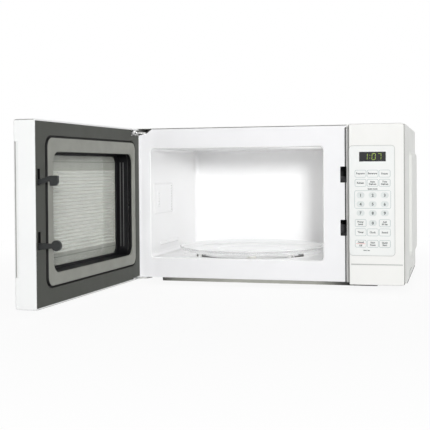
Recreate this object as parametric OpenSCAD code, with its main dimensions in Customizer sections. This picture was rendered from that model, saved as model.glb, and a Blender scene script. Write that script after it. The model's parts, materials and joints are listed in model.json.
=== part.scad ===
// Countertop microwave oven with a side-hinged door, shown with the door open.
// Built upright: +X to the right, +Y to the back, +Z up. The parts are drawn in
// the cabinet's own frame (left side at x = 0, front frame's face at y = 0, front
// frame's lower edge at z = 0) and set down on the table by cabinet().

/* [Cabinet] */
// Width of the cabinet
body_w = 446; // [430:1:480]
// Height of the front frame and of the control panel
body_h = 249; // [240:1:280]
// Depth of the cabinet behind the front frame's face
body_d = 306; // [300:1:360]
// Gauge of the cabinet's steel sheet
sheet = 0.8; // [0.6:0.1:1.2]
// Radius of the wrap's bend between top and sides
wrap_r = 4; // [2:0.5:8]
// How far the wrap hangs below the front frame
wrap_drop = 1; // [0.5:0.5:2]
// Height of the raised panel pressed into the right side
bulge = 5; // [3:0.5:8]
// Depth of the base pan's floor below the front frame's lower edge
pan_drop = 5.2; // [4:0.2:8]
// Height of the rubber feet
foot_h = 6.8; // [5:0.2:10]
// Radius of the rubber feet
foot_r = 11; // [8:0.5:14]

/* [Oven cavity] */
// Gap from the cabinet's left side to the cavity
cav_x = 26.5; // [24:0.5:30]
// Width of the cavity
cav_w = 289.5; // [285:0.5:292]
// Height of the sill above the front frame's lower edge
cav_z = 33.5; // [32:0.5:38]
// Gap from the cavity's ceiling to the front frame's top
cav_top = 33.5; // [30:0.5:38]
// Depth of the cavity
cav_d = 266; // [262:1:275]
// Corner radius of the cavity
cav_r = 5; // [3:0.5:10]
// Depth of the round well in the cavity floor
pit_depth = 12.3; // [11:0.1:14]
// Radius of the round well at the floor
pit_r = 122; // [118:0.5:126]

/* [Turntable] */
// Radius of the glass tray
tray_r = 127.5; // [120:0.5:130]
// Height of the tray's rim above its underside
tray_h = 9.8; // [9:0.1:14]
// Thickness of the tray's glass
glass_t = 4; // [3:0.5:5]
// Radius of the roller wheels
wheel_r = 7.4; // [6.5:0.1:8]
// Distance of the roller wheels from the turntable's axis
wheel_track = 94.5; // [88:0.5:98]
// Width of a roller wheel
wheel_w = 5.4; // [4:0.2:7]

/* [Door] */
// Gap between the closed door and the front frame
door_gap = 1.5; // [1:0.1:2.5]
// Setback of the door from the cabinet's left side
door_x = 0.5; // [0:0.1:2]
// Width of the door
door_w = 358.7; // [350:0.1:360]
// Thickness of the door
door_t = 31; // [29:0.5:34]
// How far the door reaches below the front frame's lower edge
door_low = 2.5; // [2.3:0.1:3.5]
// Gap from the door's top edge to the front frame's
door_top = 0.7; // [0:0.1:2]
// Wall of the door's plastic shell
door_wall = 2.1; // [1.6:0.1:2.4]
// Angle at which the door stands open
door_open = 92.3; // [60:0.1:100]
// Inset of the hinge axis from the door's edge and inner face
pin_in = 3.2; // [3.2:0.1:3.6]
// Radius of the hinge pins
pin_r = 1.9; // [1.5:0.1:2]
// Margin from the door's edge to its raised seal panel
seal_margin = 20; // [16:0.5:22]
// Margin from the seal panel's edge to the door's window
window_margin = 16.2; // [14:0.2:18]
// Corner radius of the door's window
window_r = 16; // [10:1:20]

/* [Latch] */
// Height of the upper hook above the front frame's lower edge
hook_hi = 160.5; // [155:0.5:165]
// Height of the lower hook above the front frame's lower edge
hook_lo = 75.1; // [70:0.5:80]
// Thickness of the hooks
hook_t = 5; // [4:0.2:6]
// Travel of the latch slide
hook_lift = 4.5; // [4:0.1:5]

/* [Control panel] */
// Gap between the closed door and the control panel
panel_gap = 2; // [1.5:0.1:3]
// Wall of the control panel's housing
panel_wall = 2.2; // [1.8:0.1:3]
// Corner radius of the housing
panel_r = 5; // [3:0.5:8]
// Height of the decorative groove
groove_z = 32; // [25:1:38]
// Bottom of the keypad sheet
key_z0 = 45.9; // [42:0.1:50]
// Gap from the keypad sheet's top to the panel's
key_top = 34.2; // [24:0.1:38]

/* [Clearances] */
// Running clearance of shafts and pins
run = 0.1; // [0.05:0.01:0.1]
// Clearance beside sliding pieces
slide = 0.4; // [0.3:0.05:0.5]
// Clearance of fitted pieces
fit = 0.3; // [0.2:0.05:0.5]

/* [Hidden] */
$fn = 64;
eps = 0.01;

// Cabinet
top_z = body_h + sheet;                 // outside of the wrap's top
pan_z = -pan_drop;                      // underside of the base pan
floor_z = pan_z + sheet;                // inside of the base pan
table_z = pan_z - foot_h;               // what the oven stands on
front_y = -door_gap - door_t;           // front of the door and of the control panel
rear_y = body_d;

// Cavity
cav_x1 = cav_x + cav_w;
cav_z1 = body_h - cav_top;
cav_cx = cav_x + cav_w / 2;
tt_y = 126;                             // turntable axis behind the front frame
pit_z = cav_z - pit_depth;
bay_x = cav_x1 + sheet;                 // left wall of the electronics bay
bay_cx = (bay_x + body_w) / 2;

// Turntable
axle_z = pit_z + wheel_r + run;
tray_z = axle_z + wheel_r + run;
hub_r = 7.5;
shaft_r = 3.4;
ring_r0 = wheel_track - wheel_w / 2 - 6.3;
ring_r1 = wheel_track - wheel_w / 2 - 0.8;

// Door, in its closed place
door_x1 = door_x + door_w;
door_z0 = -door_low;
door_z1 = body_h - door_top;
door_y1 = -door_gap;                    // inner face
pin_x = door_x + pin_in;
pin_y = door_y1 - pin_in;
skin_t = 2.5;                           // front wall of the shell
skin_y = front_y + skin_t;
choke_t = 3;
frame_y1 = door_y1 - 5.6;               // inner side of the door's steel frame
frame_y0 = frame_y1 - 1.2;
seal_y1 = -0.4;                         // the seal panel nearly meets the front frame
seal_x0 = door_x + seal_margin;
seal_x1 = cav_x1 + 8.5;
seal_z0 = cav_z - 9;
seal_z1 = cav_z1 + 9.5;
seal_r = 13;
win_x0 = seal_x0 + window_margin + 1.8;
win_x1 = seal_x1 - window_margin + 0.7;
win_z0 = seal_z0 + window_margin + 0.3;
win_z1 = seal_z1 - window_margin - 2.8;
pane_x0 = win_x0 + 11.5;                 // window opening of the shell
pane_x1 = win_x1 - 11;
pane_z0 = win_z0 + 18;
pane_z1 = win_z1 - 22;
pane_lip = 6;
screen_t = 0.8;
pane_t = 1.1;
screen_y = skin_y + pane_t;             // the screen lies on the outer pane
well_y0 = screen_y + screen_t;
well_y1 = seal_y1 - 3;

// Hinges
tongue_t = 2;
plate_t = 2;
top_tongue_z = door_z1 - 7.3;
low_tongue_z = door_z0 - 0.5;
tongue_r = pin_in + 0.5;
notch_w = 34;                           // corner left open in the door for the hinge arms

// Latch
hook_x = door_x1 - 13.2;
hook_x1 = hook_x + hook_t;
slot_x0 = hook_x - 2.2;
slot_x1 = hook_x1 + 2.8;
bar_y0 = frame_y0 - 12;
bar_y1 = frame_y0 - 2.6;
catch_y0 = 8;
catch_y1 = 14.6;
nose_y = 15.2;
upper_reach = 27;
lower_c = [23.5, hook_lo + 7.2];
lower_r = 7.2;
board_x1 = slot_x1 + 3;
plunger_travel = 1.2;

// Control panel
panel_x0 = door_x1 + panel_gap;
panel_cx = (panel_x0 + body_w) / 2;
key_z1 = body_h - key_top;
key_x0 = panel_x0 + 0.5;
key_x1 = panel_x0 + (body_w - panel_x0) * 0.817;
key_t = 0.5;
disp_x0 = panel_x0 + (body_w - panel_x0) * 0.186;
disp_x1 = disp_x0 + (body_w - panel_x0) * 0.478;
disp_z0 = key_z1 - 24.2;
disp_z1 = key_z1 - 9.4;
board_y = front_y + 6.3;

// Fan and the rest of the bay
fan_x = bay_cx;
fan_z = body_h - 101;
fan_r = 50;
fan_y = rear_y - 44;
mag_y = 192;
mag_z = body_h - 103;
lamp_y = 78;
lamp_z = body_h - 59;

// Rest-pose extents: the origin stands below the middle of the whole oven
free_in = [door_x1 - pin_x, door_y1 - pin_y];
free_out = [door_x1 - pin_x, front_y - pin_y];
function swung(p) = [pin_x + p[0] * cos(door_open) + p[1] * sin(door_open),
                     pin_y - p[0] * sin(door_open) + p[1] * cos(door_open)];
gland_out = 7;
min_x = min(swung(free_out)[0], 0);
max_x = body_w + bulge;
min_y = min(swung(free_in)[1], swung(free_out)[1]);
max_y = rear_y + gland_out;
org_x = (min_x + max_x) / 2;
org_y = (min_y + max_y) / 2;

// ---------- frames and shared shapes ----------

// sets cabinet parts down on the table
module cabinet() translate([-org_x, -org_y, -table_z]) children();

// swings door parts open about the hinge axis
module door() cabinet() translate([pin_x, pin_y, 0]) rotate([0, 0, -door_open])
    translate([-pin_x, -pin_y, 0]) children();

// a plate whose outline is drawn in x and z, from y = y0 to y0 + t
module plate_y(y0, t) translate([0, y0 + t, 0]) rotate([90, 0, 0]) linear_extrude(t) children();

// a plate whose outline is drawn in y and z, from x = x0 to x0 + t
module plate_x(x0, t) translate([x0, 0, 0]) rotate([90, 0, 90]) linear_extrude(t) children();

module plate_z(z0, t) translate([0, 0, z0]) linear_extrude(t) children();

module box(a, b) translate(a) cube(b - a);

// rectangle from a to b with round corners
module rrect(a, b, r) {
    if (b[0] - a[0] > 2 * r + eps) translate([a[0] + r, a[1]]) square([b[0] - a[0] - 2 * r, b[1] - a[1]]);
    if (b[1] - a[1] > 2 * r + eps) translate([a[0], a[1] + r]) square([b[0] - a[0], b[1] - a[1] - 2 * r]);
    for (x = [a[0] + r, b[0] - r], z = [a[1] + r, b[1] - r]) translate([x, z]) circle(r);
}

module rod_y(x, y0, y1, z, r) translate([x, y0, z]) rotate([-90, 0, 0]) cylinder(h = y1 - y0, r = r);
module rod_x(x0, x1, y, z, r) translate([x0, y, z]) rotate([0, 90, 0]) cylinder(h = x1 - x0, r = r);
module rod_z(x, y, z0, z1, r) translate([x, y, z0]) cylinder(h = z1 - z0, r = r);

// ---------- cabinet ----------

// outline of the raised side panel, drawn as where two bevelled bars cross
bulge_y = [80, rear_y - 34];
bulge_z = [28, body_h - 38];
module bulge_solid(base, rise) {
    slope = 8;
    intersection() {
        plate_z(0, body_h) polygon([[base - eps, bulge_y[0]], [base + rise, bulge_y[0] + slope],
            [base + rise, bulge_y[1] - slope], [base - eps, bulge_y[1]]]);
        plate_y(0, rear_y) polygon([[base - eps, bulge_z[0]], [base + rise, bulge_z[0] + slope],
            [base + rise, bulge_z[1] - slope], [base - eps, bulge_z[1]]]);
    }
}

// one sheet bent over the top and down both sides
module outer_cover() color("whitesmoke") cabinet() {
    difference() {
        plate_y(sheet, rear_y - sheet) difference() {
            union() {
                translate([0, -wrap_drop]) square([body_w, top_z + wrap_drop - wrap_r]);
                translate([wrap_r, top_z - wrap_r]) square([body_w - 2 * wrap_r, wrap_r]);
                for (x = [wrap_r, body_w - wrap_r]) translate([x, top_z - wrap_r]) circle(wrap_r);
            }
            translate([sheet, -wrap_drop - 1]) square([body_w - 2 * sheet, body_h + wrap_drop + 1 - wrap_r]);
            translate([wrap_r, body_h - wrap_r]) square([body_w - 2 * wrap_r, wrap_r]);
            for (x = [wrap_r, body_w - wrap_r]) translate([x, body_h - wrap_r]) circle(wrap_r - sheet);
        }
        bulge_solid(body_w - sheet, bulge);
        // outlet slots high on the left side, and inlet slots low on the right side
        for (i = [0:9], j = [0:1]) plate_x(-1, sheet + 2)
            translate([50 + i * 9, body_h - 59 + j * 24]) rrect([0, 0], [3.2, 18], 1.6);
        for (i = [0:11]) plate_x(body_w - sheet - 1, sheet + 2)
            translate([186 + i * 8, 9]) rrect([0, 0], [3.2, 13], 1.6);
    }
    difference() {
        bulge_solid(body_w, bulge);
        bulge_solid(body_w - sheet, bulge);
    }
    // pressed oval foot of the right side
    plate_x(body_w - sheet / 2, 1 + sheet / 2) rrect([92, 0.5], [156, 8.5], 4);
}

module rear_panel() color("silver") cabinet() difference() {
    box([sheet, rear_y - 1.5, floor_z], [body_w - sheet, rear_y - 0.5, body_h - wrap_r]);
    // air slots in front of the fan, above each other
    for (i = [-4:4], s = [-1, 1]) plate_y(rear_y - 3, 4)
        translate([fan_x + s * 22, fan_z + i * 9.5]) rrect([-17, -1.7], [17, 1.7], 1.7);
    // steam slots behind the cavity
    for (i = [0:7]) plate_y(rear_y - 3, 4) translate([60 + i * 9, body_h - 53]) rrect([0, 0], [3.4, 26], 1.7);
    rod_y(body_w - 26, rear_y - 3, rear_y + 2, 30, 7);
}

// tray of galvanised steel under everything, with a lip that closes the front
// and two raised corners beside that lip
lip_x0 = 46;
lip_x1 = body_w - 45;
corner_y = 46;
module base_pan() color("gray") cabinet() difference() {
    union() {
        box([lip_x0, sheet + 0.2, pan_z], [lip_x1, corner_y, floor_z]);
        box([sheet + 0.5, corner_y - eps, pan_z], [body_w - sheet - 0.5, rear_y - 1.5, floor_z]);
        plate_y(0.2, sheet) polygon([[lip_x0, 0], [lip_x0 + 0.6, pan_z + 1.6], [lip_x0 + 3, pan_z],
            [lip_x1 - 3, pan_z], [lip_x1 - 0.6, pan_z + 1.6], [lip_x1, 0]]);
        for (x = [[sheet + 0.5, lip_x0 + sheet], [lip_x1 - sheet, body_w - sheet - 0.5]]) {
            box([x[0], sheet + tongue_t + 1, 0.2], [x[1], corner_y, sheet + 0.2]);
            box([x[0], corner_y - sheet, pan_z], [x[1], corner_y, sheet + 0.2]);
        }
        for (x = [lip_x0, lip_x1 - sheet])
            box([x, sheet + 0.2, floor_z - sheet / 2], [x + sheet, corner_y, sheet + 0.2]);
        for (x = [sheet, body_w - 2 * sheet])
            box([x, corner_y - sheet, pan_z], [x + sheet, rear_y - 1.5, 10]);
        box([sheet, rear_y - 2.5, pan_z], [body_w - sheet, rear_y - 1.5, 12]);
    }
    // air slots under the transformer and screw holes of the feet
    for (i = [0:6]) plate_z(pan_z - 1, 3) translate([bay_cx - 30 + i * 9, 130]) rrect([0, 0], [3.4, 40], 1.7);
    for (p = foot_at) rod_z(p[0], p[1], pan_z - 1, floor_z + 1, 2);
}

foot_x = lip_x0 + foot_r + 3;
foot_at = [[foot_x, 76], [body_w - foot_x, 76], [foot_x, rear_y - 50], [body_w - foot_x, rear_y - 50]];
module feet() color("dimgray") cabinet() for (p = foot_at) difference() {
    translate([p[0], p[1], table_z]) cylinder(h = foot_h, r1 = foot_r - 2, r2 = foot_r);
    rod_z(p[0], p[1], table_z - 1, table_z + 2.5, 4.2);
}

// painted steel plate that the door closes against
module front_frame() color("white") cabinet() {
    difference() {
        plate_y(0, sheet) difference() {
            square([panel_x0 + 5, body_h]);
            rrect([cav_x, cav_z], [cav_x1, cav_z1], cav_r);
            // corner cut away for the upper hinge arm
            polygon([[-1, body_h + 1], [30.2, body_h + 1], [29.4, body_h - 0.5], [18.7, body_h - 8.6],
                [7.1, body_h - 11], [-1, body_h - 11]]);
            for (z = [hook_hi - 2.7, hook_lo - 1.8])
                translate([slot_x0, z]) square([slot_x1 - slot_x0, 25.4]);
        }
        // pressed marks on the face
        box([14, -1, body_h - 18.8], [45, 0.3, body_h - 12.6]);
        box([318, -1, body_h - 12], [panel_x0 - 8, 0.3, body_h - 11.2]);
        box([337, -1, body_h - 36], [337.8, 0.3, body_h - 18]);
    }
    // folded edges that stiffen it
    box([31, sheet, body_h - sheet], [panel_x0 + 5, 14, body_h]);
    box([sheet, sheet, 30], [2 * sheet, 14, body_h - 11]);
}

// pressed steel box of the oven itself
vent_y = 109;
vent2_y = 37;
module cavity_shell() color("white") cabinet() difference() {
    union() {
        difference() {
            plate_y(sheet, cav_d) rrect([cav_x - sheet, cav_z - sheet], [cav_x1 + sheet, cav_z1 + sheet], cav_r + sheet);
            plate_y(0, cav_d) rrect([cav_x, cav_z], [cav_x1, cav_z1], cav_r);
            rod_z(cav_cx, tt_y, cav_z - 2 * sheet, cav_z + 1, pit_r);
        }
        // round well for the turntable
        difference() {
            translate([cav_cx, tt_y, pit_z - sheet]) cylinder(h = pit_depth + sheet, r1 = pit_r - 9, r2 = pit_r + 1);
            translate([cav_cx, tt_y, pit_z]) cylinder(h = pit_depth + eps, r1 = pit_r - 10, r2 = pit_r);
        }
        // pressed panel and bead of the left wall
        plate_x(cav_x - eps, 1.2) rrect([11.3, 100], [114.4, cav_z1 - 57.5], 4);
        plate_x(cav_x - eps, 1.5) rrect([45, 50.4], [152, 55.2], 2.3);
    }
    // steam holes of the left wall
    for (i = [0:12], y = [vent_y - 2.2, vent_y + 2.2]) rod_x(cav_x - 3, cav_x + 3, y, 106 + i * 4, 1.2);
    for (i = [0:4], y = [vent2_y - 2.2, vent2_y + 2.2]) rod_x(cav_x - 3, cav_x + 3, y, 121 + i * 4.6, 1.1);
    // lamp holes and microwave port of the right wall
    for (i = [0:3], j = [0:3]) rod_x(cav_x1 - 2, cav_x1 + 3, lamp_y - 9 + i * 6, lamp_z - 9 + j * 6, 1.8);
    box([cav_x1 - 1, mag_y - 52, mag_z - 30], [cav_x1 + 3, mag_y + 12, mag_z + 30]);
    // hole for the turntable's drive
    rod_z(cav_cx, tt_y, pit_z - 3, pit_z + 2, hub_r + 1);
}

// mica sheet over the microwave port
module waveguide_cover() color("wheat") cabinet()
    plate_x(cav_x1 - 0.8, 0.8) rrect([mag_y - 60, mag_z - 38], [mag_y + 20, mag_z + 38], 3);

wg_d = 24;
module waveguide() color("silver") cabinet() difference() {
    box([bay_x, mag_y - 62, mag_z - 38], [bay_x + wg_d, mag_y + 42, mag_z + 38]);
    box([bay_x - 1, mag_y - 52, mag_z - 34], [bay_x + wg_d - sheet, mag_y + 38, mag_z + 34]);
    rod_x(bay_x, bay_x + wg_d + 1, mag_y, mag_z, 14);
}

// steel yoke with its filter box
mag_x0 = bay_x + wg_d;
mag_x1 = mag_x0 + 62;
module magnetron() color("silver") cabinet() {
    difference() {
        box([mag_x0, mag_y - 44, mag_z - 39], [mag_x1, mag_y + 44, mag_z + 39]);
        box([mag_x0 + 1.6, mag_y - 45, mag_z - 37.4], [mag_x1 - 1.6, mag_y + 45, mag_z + 37.4]);
        rod_x(mag_x0 - 1, mag_x0 + 3, mag_y, mag_z, 12);
        rod_x(mag_x1 - 3, mag_x1 + 1, mag_y, mag_z, 9);
    }
    difference() {
        box([mag_x1, mag_y - 30, mag_z - 26], [mag_x1 + 26, mag_y + 30, mag_z + 26]);
        rod_x(mag_x1 - 1, mag_x1 + 6, mag_y, mag_z, 9);
    }
}

// anode with magnets, cooling fins and antenna
module magnetron_core() color("sandybrown") cabinet() {
    rod_x(mag_x0 + 1.6, mag_x1 - 1.6, mag_y, mag_z, 19);
    for (x = [mag_x0 + 1.6, mag_x1 - 13.6]) rod_x(x, x + 12, mag_y, mag_z, 27);
    for (i = [0:5]) box([mag_x0 + 16.5 + i * 5.2, mag_y - 40, mag_z - 37.4], [mag_x0 + 17.3 + i * 5.2, mag_y + 40, mag_z + 37.4]);
    rod_x(mag_x0 - 19, mag_x0 + 1.6, mag_y, mag_z, 9);
}

// laminated core with two windows
tr_x = bay_cx - 45;
tr_y = [62, 112];
module transformer_core() color("dimgray") cabinet() plate_y(tr_y[0], tr_y[1] - tr_y[0]) difference() {
    translate([tr_x, floor_z]) square([90, 76]);
    for (x = [15, 60]) translate([tr_x + x, floor_z + 15]) square([15, 46]);
}

module winding(z0, z1, r) plate_z(z0, z1 - z0) difference() {
    rrect([tr_x + 15 + fit, tr_y[0] - r], [tr_x + 75 - fit, tr_y[1] + r], 8);
    translate([tr_x + 30, tr_y[0]]) square([30, tr_y[1] - tr_y[0]]);
}
module transformer_windings() color("darkgoldenrod") cabinet() {
    winding(floor_z + 15, floor_z + 35, 15);
    winding(floor_z + 39, floor_z + 61, 17);
    plate_z(floor_z + 35, 4) difference() {
        rrect([tr_x + 15 + fit, tr_y[0] - 8], [tr_x + 75 - fit, tr_y[1] + 8], 4);
        translate([tr_x + 30, tr_y[0]]) square([30, tr_y[1] - tr_y[0]]);
    }
}

cap_at = [bay_cx - 22, 158];
cap_h = 92;
module can_outline(r) {
    circle(r);
    translate([26, 0]) circle(r);
    translate([0, -r]) square([26, 2 * r]);
}
module capacitor() color("silver") cabinet() {
    plate_z(floor_z, cap_h) translate(cap_at) can_outline(16);
    for (x = [4, 22]) box([cap_at[0] + x - 3, cap_at[1] - 0.5, floor_z + cap_h], [cap_at[0] + x + 3, cap_at[1] + 0.5, floor_z + cap_h + 9]);
}
module capacitor_clamp() color("lightgray") cabinet() {
    plate_z(floor_z + 26, 14) difference() {
        translate(cap_at) can_outline(17);
        translate(cap_at) can_outline(16);
    }
    box([cap_at[0] + 43 - eps, cap_at[1] - 6, floor_z], [cap_at[0] + 44, cap_at[1] + 6, floor_z + 40]);
    box([cap_at[0] + 43 - eps, cap_at[1] - 6, floor_z], [cap_at[0] + 56, cap_at[1] + 6, floor_z + 1]);
}
// high-voltage diode from the capacitor's clamp to the pan
module diode() color("black") cabinet() {
    rod_z(cap_at[0] + 50, cap_at[1], floor_z + 1, floor_z + 17, 4);
    rod_z(cap_at[0] + 50, cap_at[1], floor_z + 17, floor_z + 23, 0.8);
}

// ---------- fan, lamp, filter, drive ----------

spider_y = fan_y + 22;
module fan_shroud() color("lightgray") cabinet() {
    difference() {
        box([fan_x - 56, spider_y, fan_z - 56], [fan_x + 56, spider_y + 1.5, fan_z + 56]);
        rod_y(fan_x, spider_y - 1, spider_y + 3, fan_z, fan_r + 1.5);
    }
    // ring round the blade, feet to the rear panel, and the bar that carries the motor
    difference() {
        rod_y(fan_x, fan_y - 2, spider_y, fan_z, fan_r + 3.5);
        rod_y(fan_x, fan_y - 3, spider_y + 1, fan_z, fan_r + 1.5);
    }
    for (x = [fan_x - 56, fan_x + 54.5]) box([x, spider_y, fan_z - 56], [x + 1.5, rear_y - 1.5, fan_z + 56]);
    difference() {
        box([fan_x - 56, spider_y, fan_z - 9], [fan_x + 56, spider_y + 1.5, fan_z + 9]);
        rod_y(fan_x, spider_y - 1, spider_y + 3, fan_z, 4.5);
    }
}

module fan_motor() color("slategray") cabinet() difference() {
    union() {
        box([fan_x - 24, spider_y + 1.5, fan_z - 20], [fan_x + 24, spider_y + 15, fan_z + 20]);
        rod_y(fan_x, spider_y + 15, spider_y + 18, fan_z, 8);
        rod_x(fan_x - 13, fan_x + 13, spider_y + 8, fan_z - 27, 7.5);
    }
    rod_y(fan_x, spider_y, spider_y + 14, fan_z, 2 + run);
}

// five raked blades on a hub and its shaft
module fan_blade() color("lightgray") cabinet() {
    rod_y(fan_x, fan_y + 2, fan_y + 18, fan_z, 11);
    rod_y(fan_x, fan_y, spider_y + 13.5, fan_z, 2);
    translate([fan_x, fan_y + 10, fan_z]) for (i = [0:4]) rotate([0, i * 72, 0])
        translate([9, 0, 0]) rotate([28, 0, 0]) translate([0, -0.8, -15])
            intersection() {
                cube([fan_r - 10.5, 1.6, 30]);
                translate([0, 2, 15]) rotate([90, 0, 0]) translate([-9, 0, 0]) cylinder(h = 4, r = fan_r - 1.5);
            }
}

module lamp_holder() color("dimgray") cabinet() {
    box([bay_x, lamp_y - 18, lamp_z - 18], [bay_x + 1.5, lamp_y + 18, lamp_z - 12]);
    box([bay_x, lamp_y - 18, lamp_z - 18], [bay_x + 34, lamp_y + 18, lamp_z - 16.5]);
    difference() {
        box([bay_x + 26, lamp_y - 12, lamp_z - 16.5], [bay_x + 34, lamp_y + 12, lamp_z + 12]);
        rod_x(bay_x + 25, bay_x + 31, lamp_y, lamp_z, 7);
    }
}
module oven_lamp() color("lightyellow") cabinet() {
    translate([bay_x + 13, lamp_y, lamp_z]) rotate([0, 90, 0]) rotate_extrude() {
        intersection() {
            circle(10);
            translate([0, -10]) square(20);
        }
        translate([0, 6]) square([6.8, 12]);
    }
}

// mains filter on four spacers of the rear panel
filt_z = body_h - 41;
module filter_board() color("darkgreen") cabinet() {
    box([bay_x + 12, rear_y - 9.1, filt_z], [body_w - 12, rear_y - 7.5, filt_z + 36]);
    for (x = [bay_x + 16, body_w - 16], z = [filt_z + 4, filt_z + 32]) rod_y(x, rear_y - 7.5, rear_y - 1.5, z, 2.5);
    rod_y(bay_x + 18, rear_y - 27, rear_y - 9.1, filt_z + 18, 9);
    box([bay_cx - 14.6, rear_y - 22, filt_z + 6], [bay_cx + 5.4, rear_y - 9.1, filt_z + 30]);
}
module fuse() color("khaki") cabinet() {
    box([bay_cx + 11.4, rear_y - 12, filt_z + 14], [bay_cx + 41.4, rear_y - 9.1, filt_z + 22]);
    rod_x(bay_cx + 11.4, bay_cx + 41.4, rear_y - 15, filt_z + 18, 3);
}

// snap-action thermostat on top of the cavity
module thermal_cutout() color("silver") cabinet() {
    box([cav_cx - 12, 200, cav_z1 + sheet], [cav_cx + 12, 212, cav_z1 + sheet + 1]);
    rod_z(cav_cx, 206, cav_z1 + 2 * sheet, cav_z1 + sheet + 10, 8);
}

// flat synchronous motor under the cavity
module turntable_motor() color("gainsboro") cabinet() difference() {
    union() {
        rod_z(cav_cx, tt_y, pit_z - sheet - 18.5, pit_z - sheet - 1, 24.5);
        box([cav_cx - 33, tt_y - 8, pit_z - sheet - 1], [cav_cx + 33, tt_y + 8, pit_z - sheet]);
    }
    rod_z(cav_cx, tt_y, pit_z - sheet - 15, pit_z, shaft_r + run);
}
module motor_shaft() color("silver") cabinet()
    rod_z(cav_cx, tt_y, pit_z - sheet - 14.7, tray_z - 1.5, shaft_r);

// hub with three arms that turn the tray
coup_z = [pit_z + 0.6, tray_z - fit];
module drive_coupler() color("ivory") cabinet() difference() {
    union() {
        rod_z(cav_cx, tt_y, coup_z[0], coup_z[1], hub_r);
        for (a = [0:120:240]) translate([cav_cx, tt_y, 0]) rotate([0, 0, a + 30])
            box([0, -3, coup_z[1] - 6], [19, 3, coup_z[1]]);
    }
    rod_z(cav_cx, tt_y, coup_z[0] - 1, tray_z - 1.5 + run, shaft_r);
}

// moulded glass dish with three lugs between the coupler's arms
module glass_tray() color("lightcyan", 0.5) cabinet() translate([cav_cx, tt_y, tray_z]) {
    rotate_extrude() polygon([[0, 0], [tray_r - 15.5, 0], [tray_r - 2, tray_h - 4.5], [tray_r, tray_h - 1],
        [tray_r, tray_h], [tray_r - 3, tray_h], [tray_r - 5.5, tray_h - 2.5], [tray_r - 17, glass_t], [0, glass_t]]);
    for (a = [0:120:240]) rotate([0, 0, a - 30]) box([10.5, -3, -5], [18, 3, eps]);
}

module on_ring(a) translate([cav_cx, tt_y, axle_z]) rotate([0, 0, a]) rotate([0, 90, 0]) children();
wheel_at = [-33.5, 86.5, 206.5];
module roller_ring() color("dimgray") cabinet() {
    translate([cav_cx, tt_y, axle_z - 2.7]) difference() {
        cylinder(h = 5.4, r = ring_r1);
        translate([0, 0, -1]) cylinder(h = 8, r = ring_r0);
    }
    for (a = wheel_at) on_ring(a) {
        translate([0, 0, ring_r1 - 1]) cylinder(h = wheel_w + 4, r = 2);
        translate([0, 0, wheel_track + wheel_w / 2 + 0.3]) cylinder(h = 1.7, r = 3.2);
    }
}
module roller_wheel(a) color("white") cabinet() on_ring(a)
    translate([0, 0, wheel_track - wheel_w / 2]) difference() {
        cylinder(h = wheel_w, r = wheel_r);
        translate([0, 0, -1]) cylinder(h = wheel_w + 2, r = 2 + run);
    }
module roller_wheel_1() roller_wheel(wheel_at[0]);
module roller_wheel_2() roller_wheel(wheel_at[1]);
module roller_wheel_3() roller_wheel(wheel_at[2]);

// rubber-grey bush where the mains lead would come in, clipped into the rear panel
module cord_gland() color("black") cabinet() difference() {
    union() {
        rod_y(body_w - 26, rear_y - 4, rear_y - 0.5, 30, 7 - 0.05);
        rod_y(body_w - 26, rear_y - 0.5, rear_y + 2, 30, 10);
        rod_y(body_w - 26, rear_y + 2, rear_y + gland_out, 30, 6.5);
        rod_y(body_w - 26, rear_y - 4, rear_y - 1.5, 30, 8.5);
    }
    rod_y(body_w - 26, rear_y - 5, rear_y + gland_out + 1, 30, 3.8);
}

// ---------- control panel ----------

module panel_outline(in) {
    difference() {
        rrect([panel_x0 + in, in], [body_w - in, body_h - in], panel_r - in);
    }
    // the edge beside the door stays square
    translate([panel_x0 + in, in]) square([20, body_h - 2 * in]);
}

module control_bezel() color("white") cabinet() {
    difference() {
        plate_y(front_y, -front_y) panel_outline(0);
        plate_y(skin_y, -front_y) panel_outline(panel_wall);
        // rounded front edge on the right
        translate([body_w - 3, front_y - eps, -1]) difference() {
            cube([4, 3, body_h + 2]);
            translate([0, 3, -1]) cylinder(h = body_h + 4, r = 3);
        }
        // pocket of the keypad sheet, window opening, cable opening
        plate_y(front_y - 1, 1 + key_t) key_outline(0);
        box([disp_x0, front_y - 1, disp_z0], [disp_x1, skin_y + 1, disp_z1]);
        box([panel_cx - 12, front_y - 1, key_z0 + 4], [panel_cx + 2, skin_y + 1, key_z0 + 7]);
        // decorative grooves
        box([panel_x0 + 2.5, front_y - 1, groove_z - 0.6], [body_w - 4, front_y + 0.8, groove_z + 0.6]);
        box([body_w - 0.6, front_y + 4, 2], [body_w + 1, front_y + 4.8, body_h - 2]);
    }
    // lip on the front frame beside the door, and the side that carries on to the wrap
    box([slot_x1 + 0.1, door_y1 + fit, 0], [panel_x0 + eps, 0, body_h]);
    box([body_w - panel_wall, -eps, 8], [body_w, sheet, body_h - 8]);
    // bosses that carry the circuit board
    for (x = [panel_x0 + 9, body_w - 9], z = [key_z0 + 6, key_z1 + 12]) rod_y(x, skin_y - eps, board_y, z, 3);
}

module key_outline(gap) rrect([key_x0 + gap, key_z0 + gap], [key_x1 - gap, key_z1 - gap], 5 - gap);
module keypad_membrane() color("white") cabinet() difference() {
    plate_y(front_y, key_t) key_outline(0.1);
    box([disp_x0, front_y - 1, disp_z0], [disp_x1, front_y + 2, disp_z1]);
}
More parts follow.
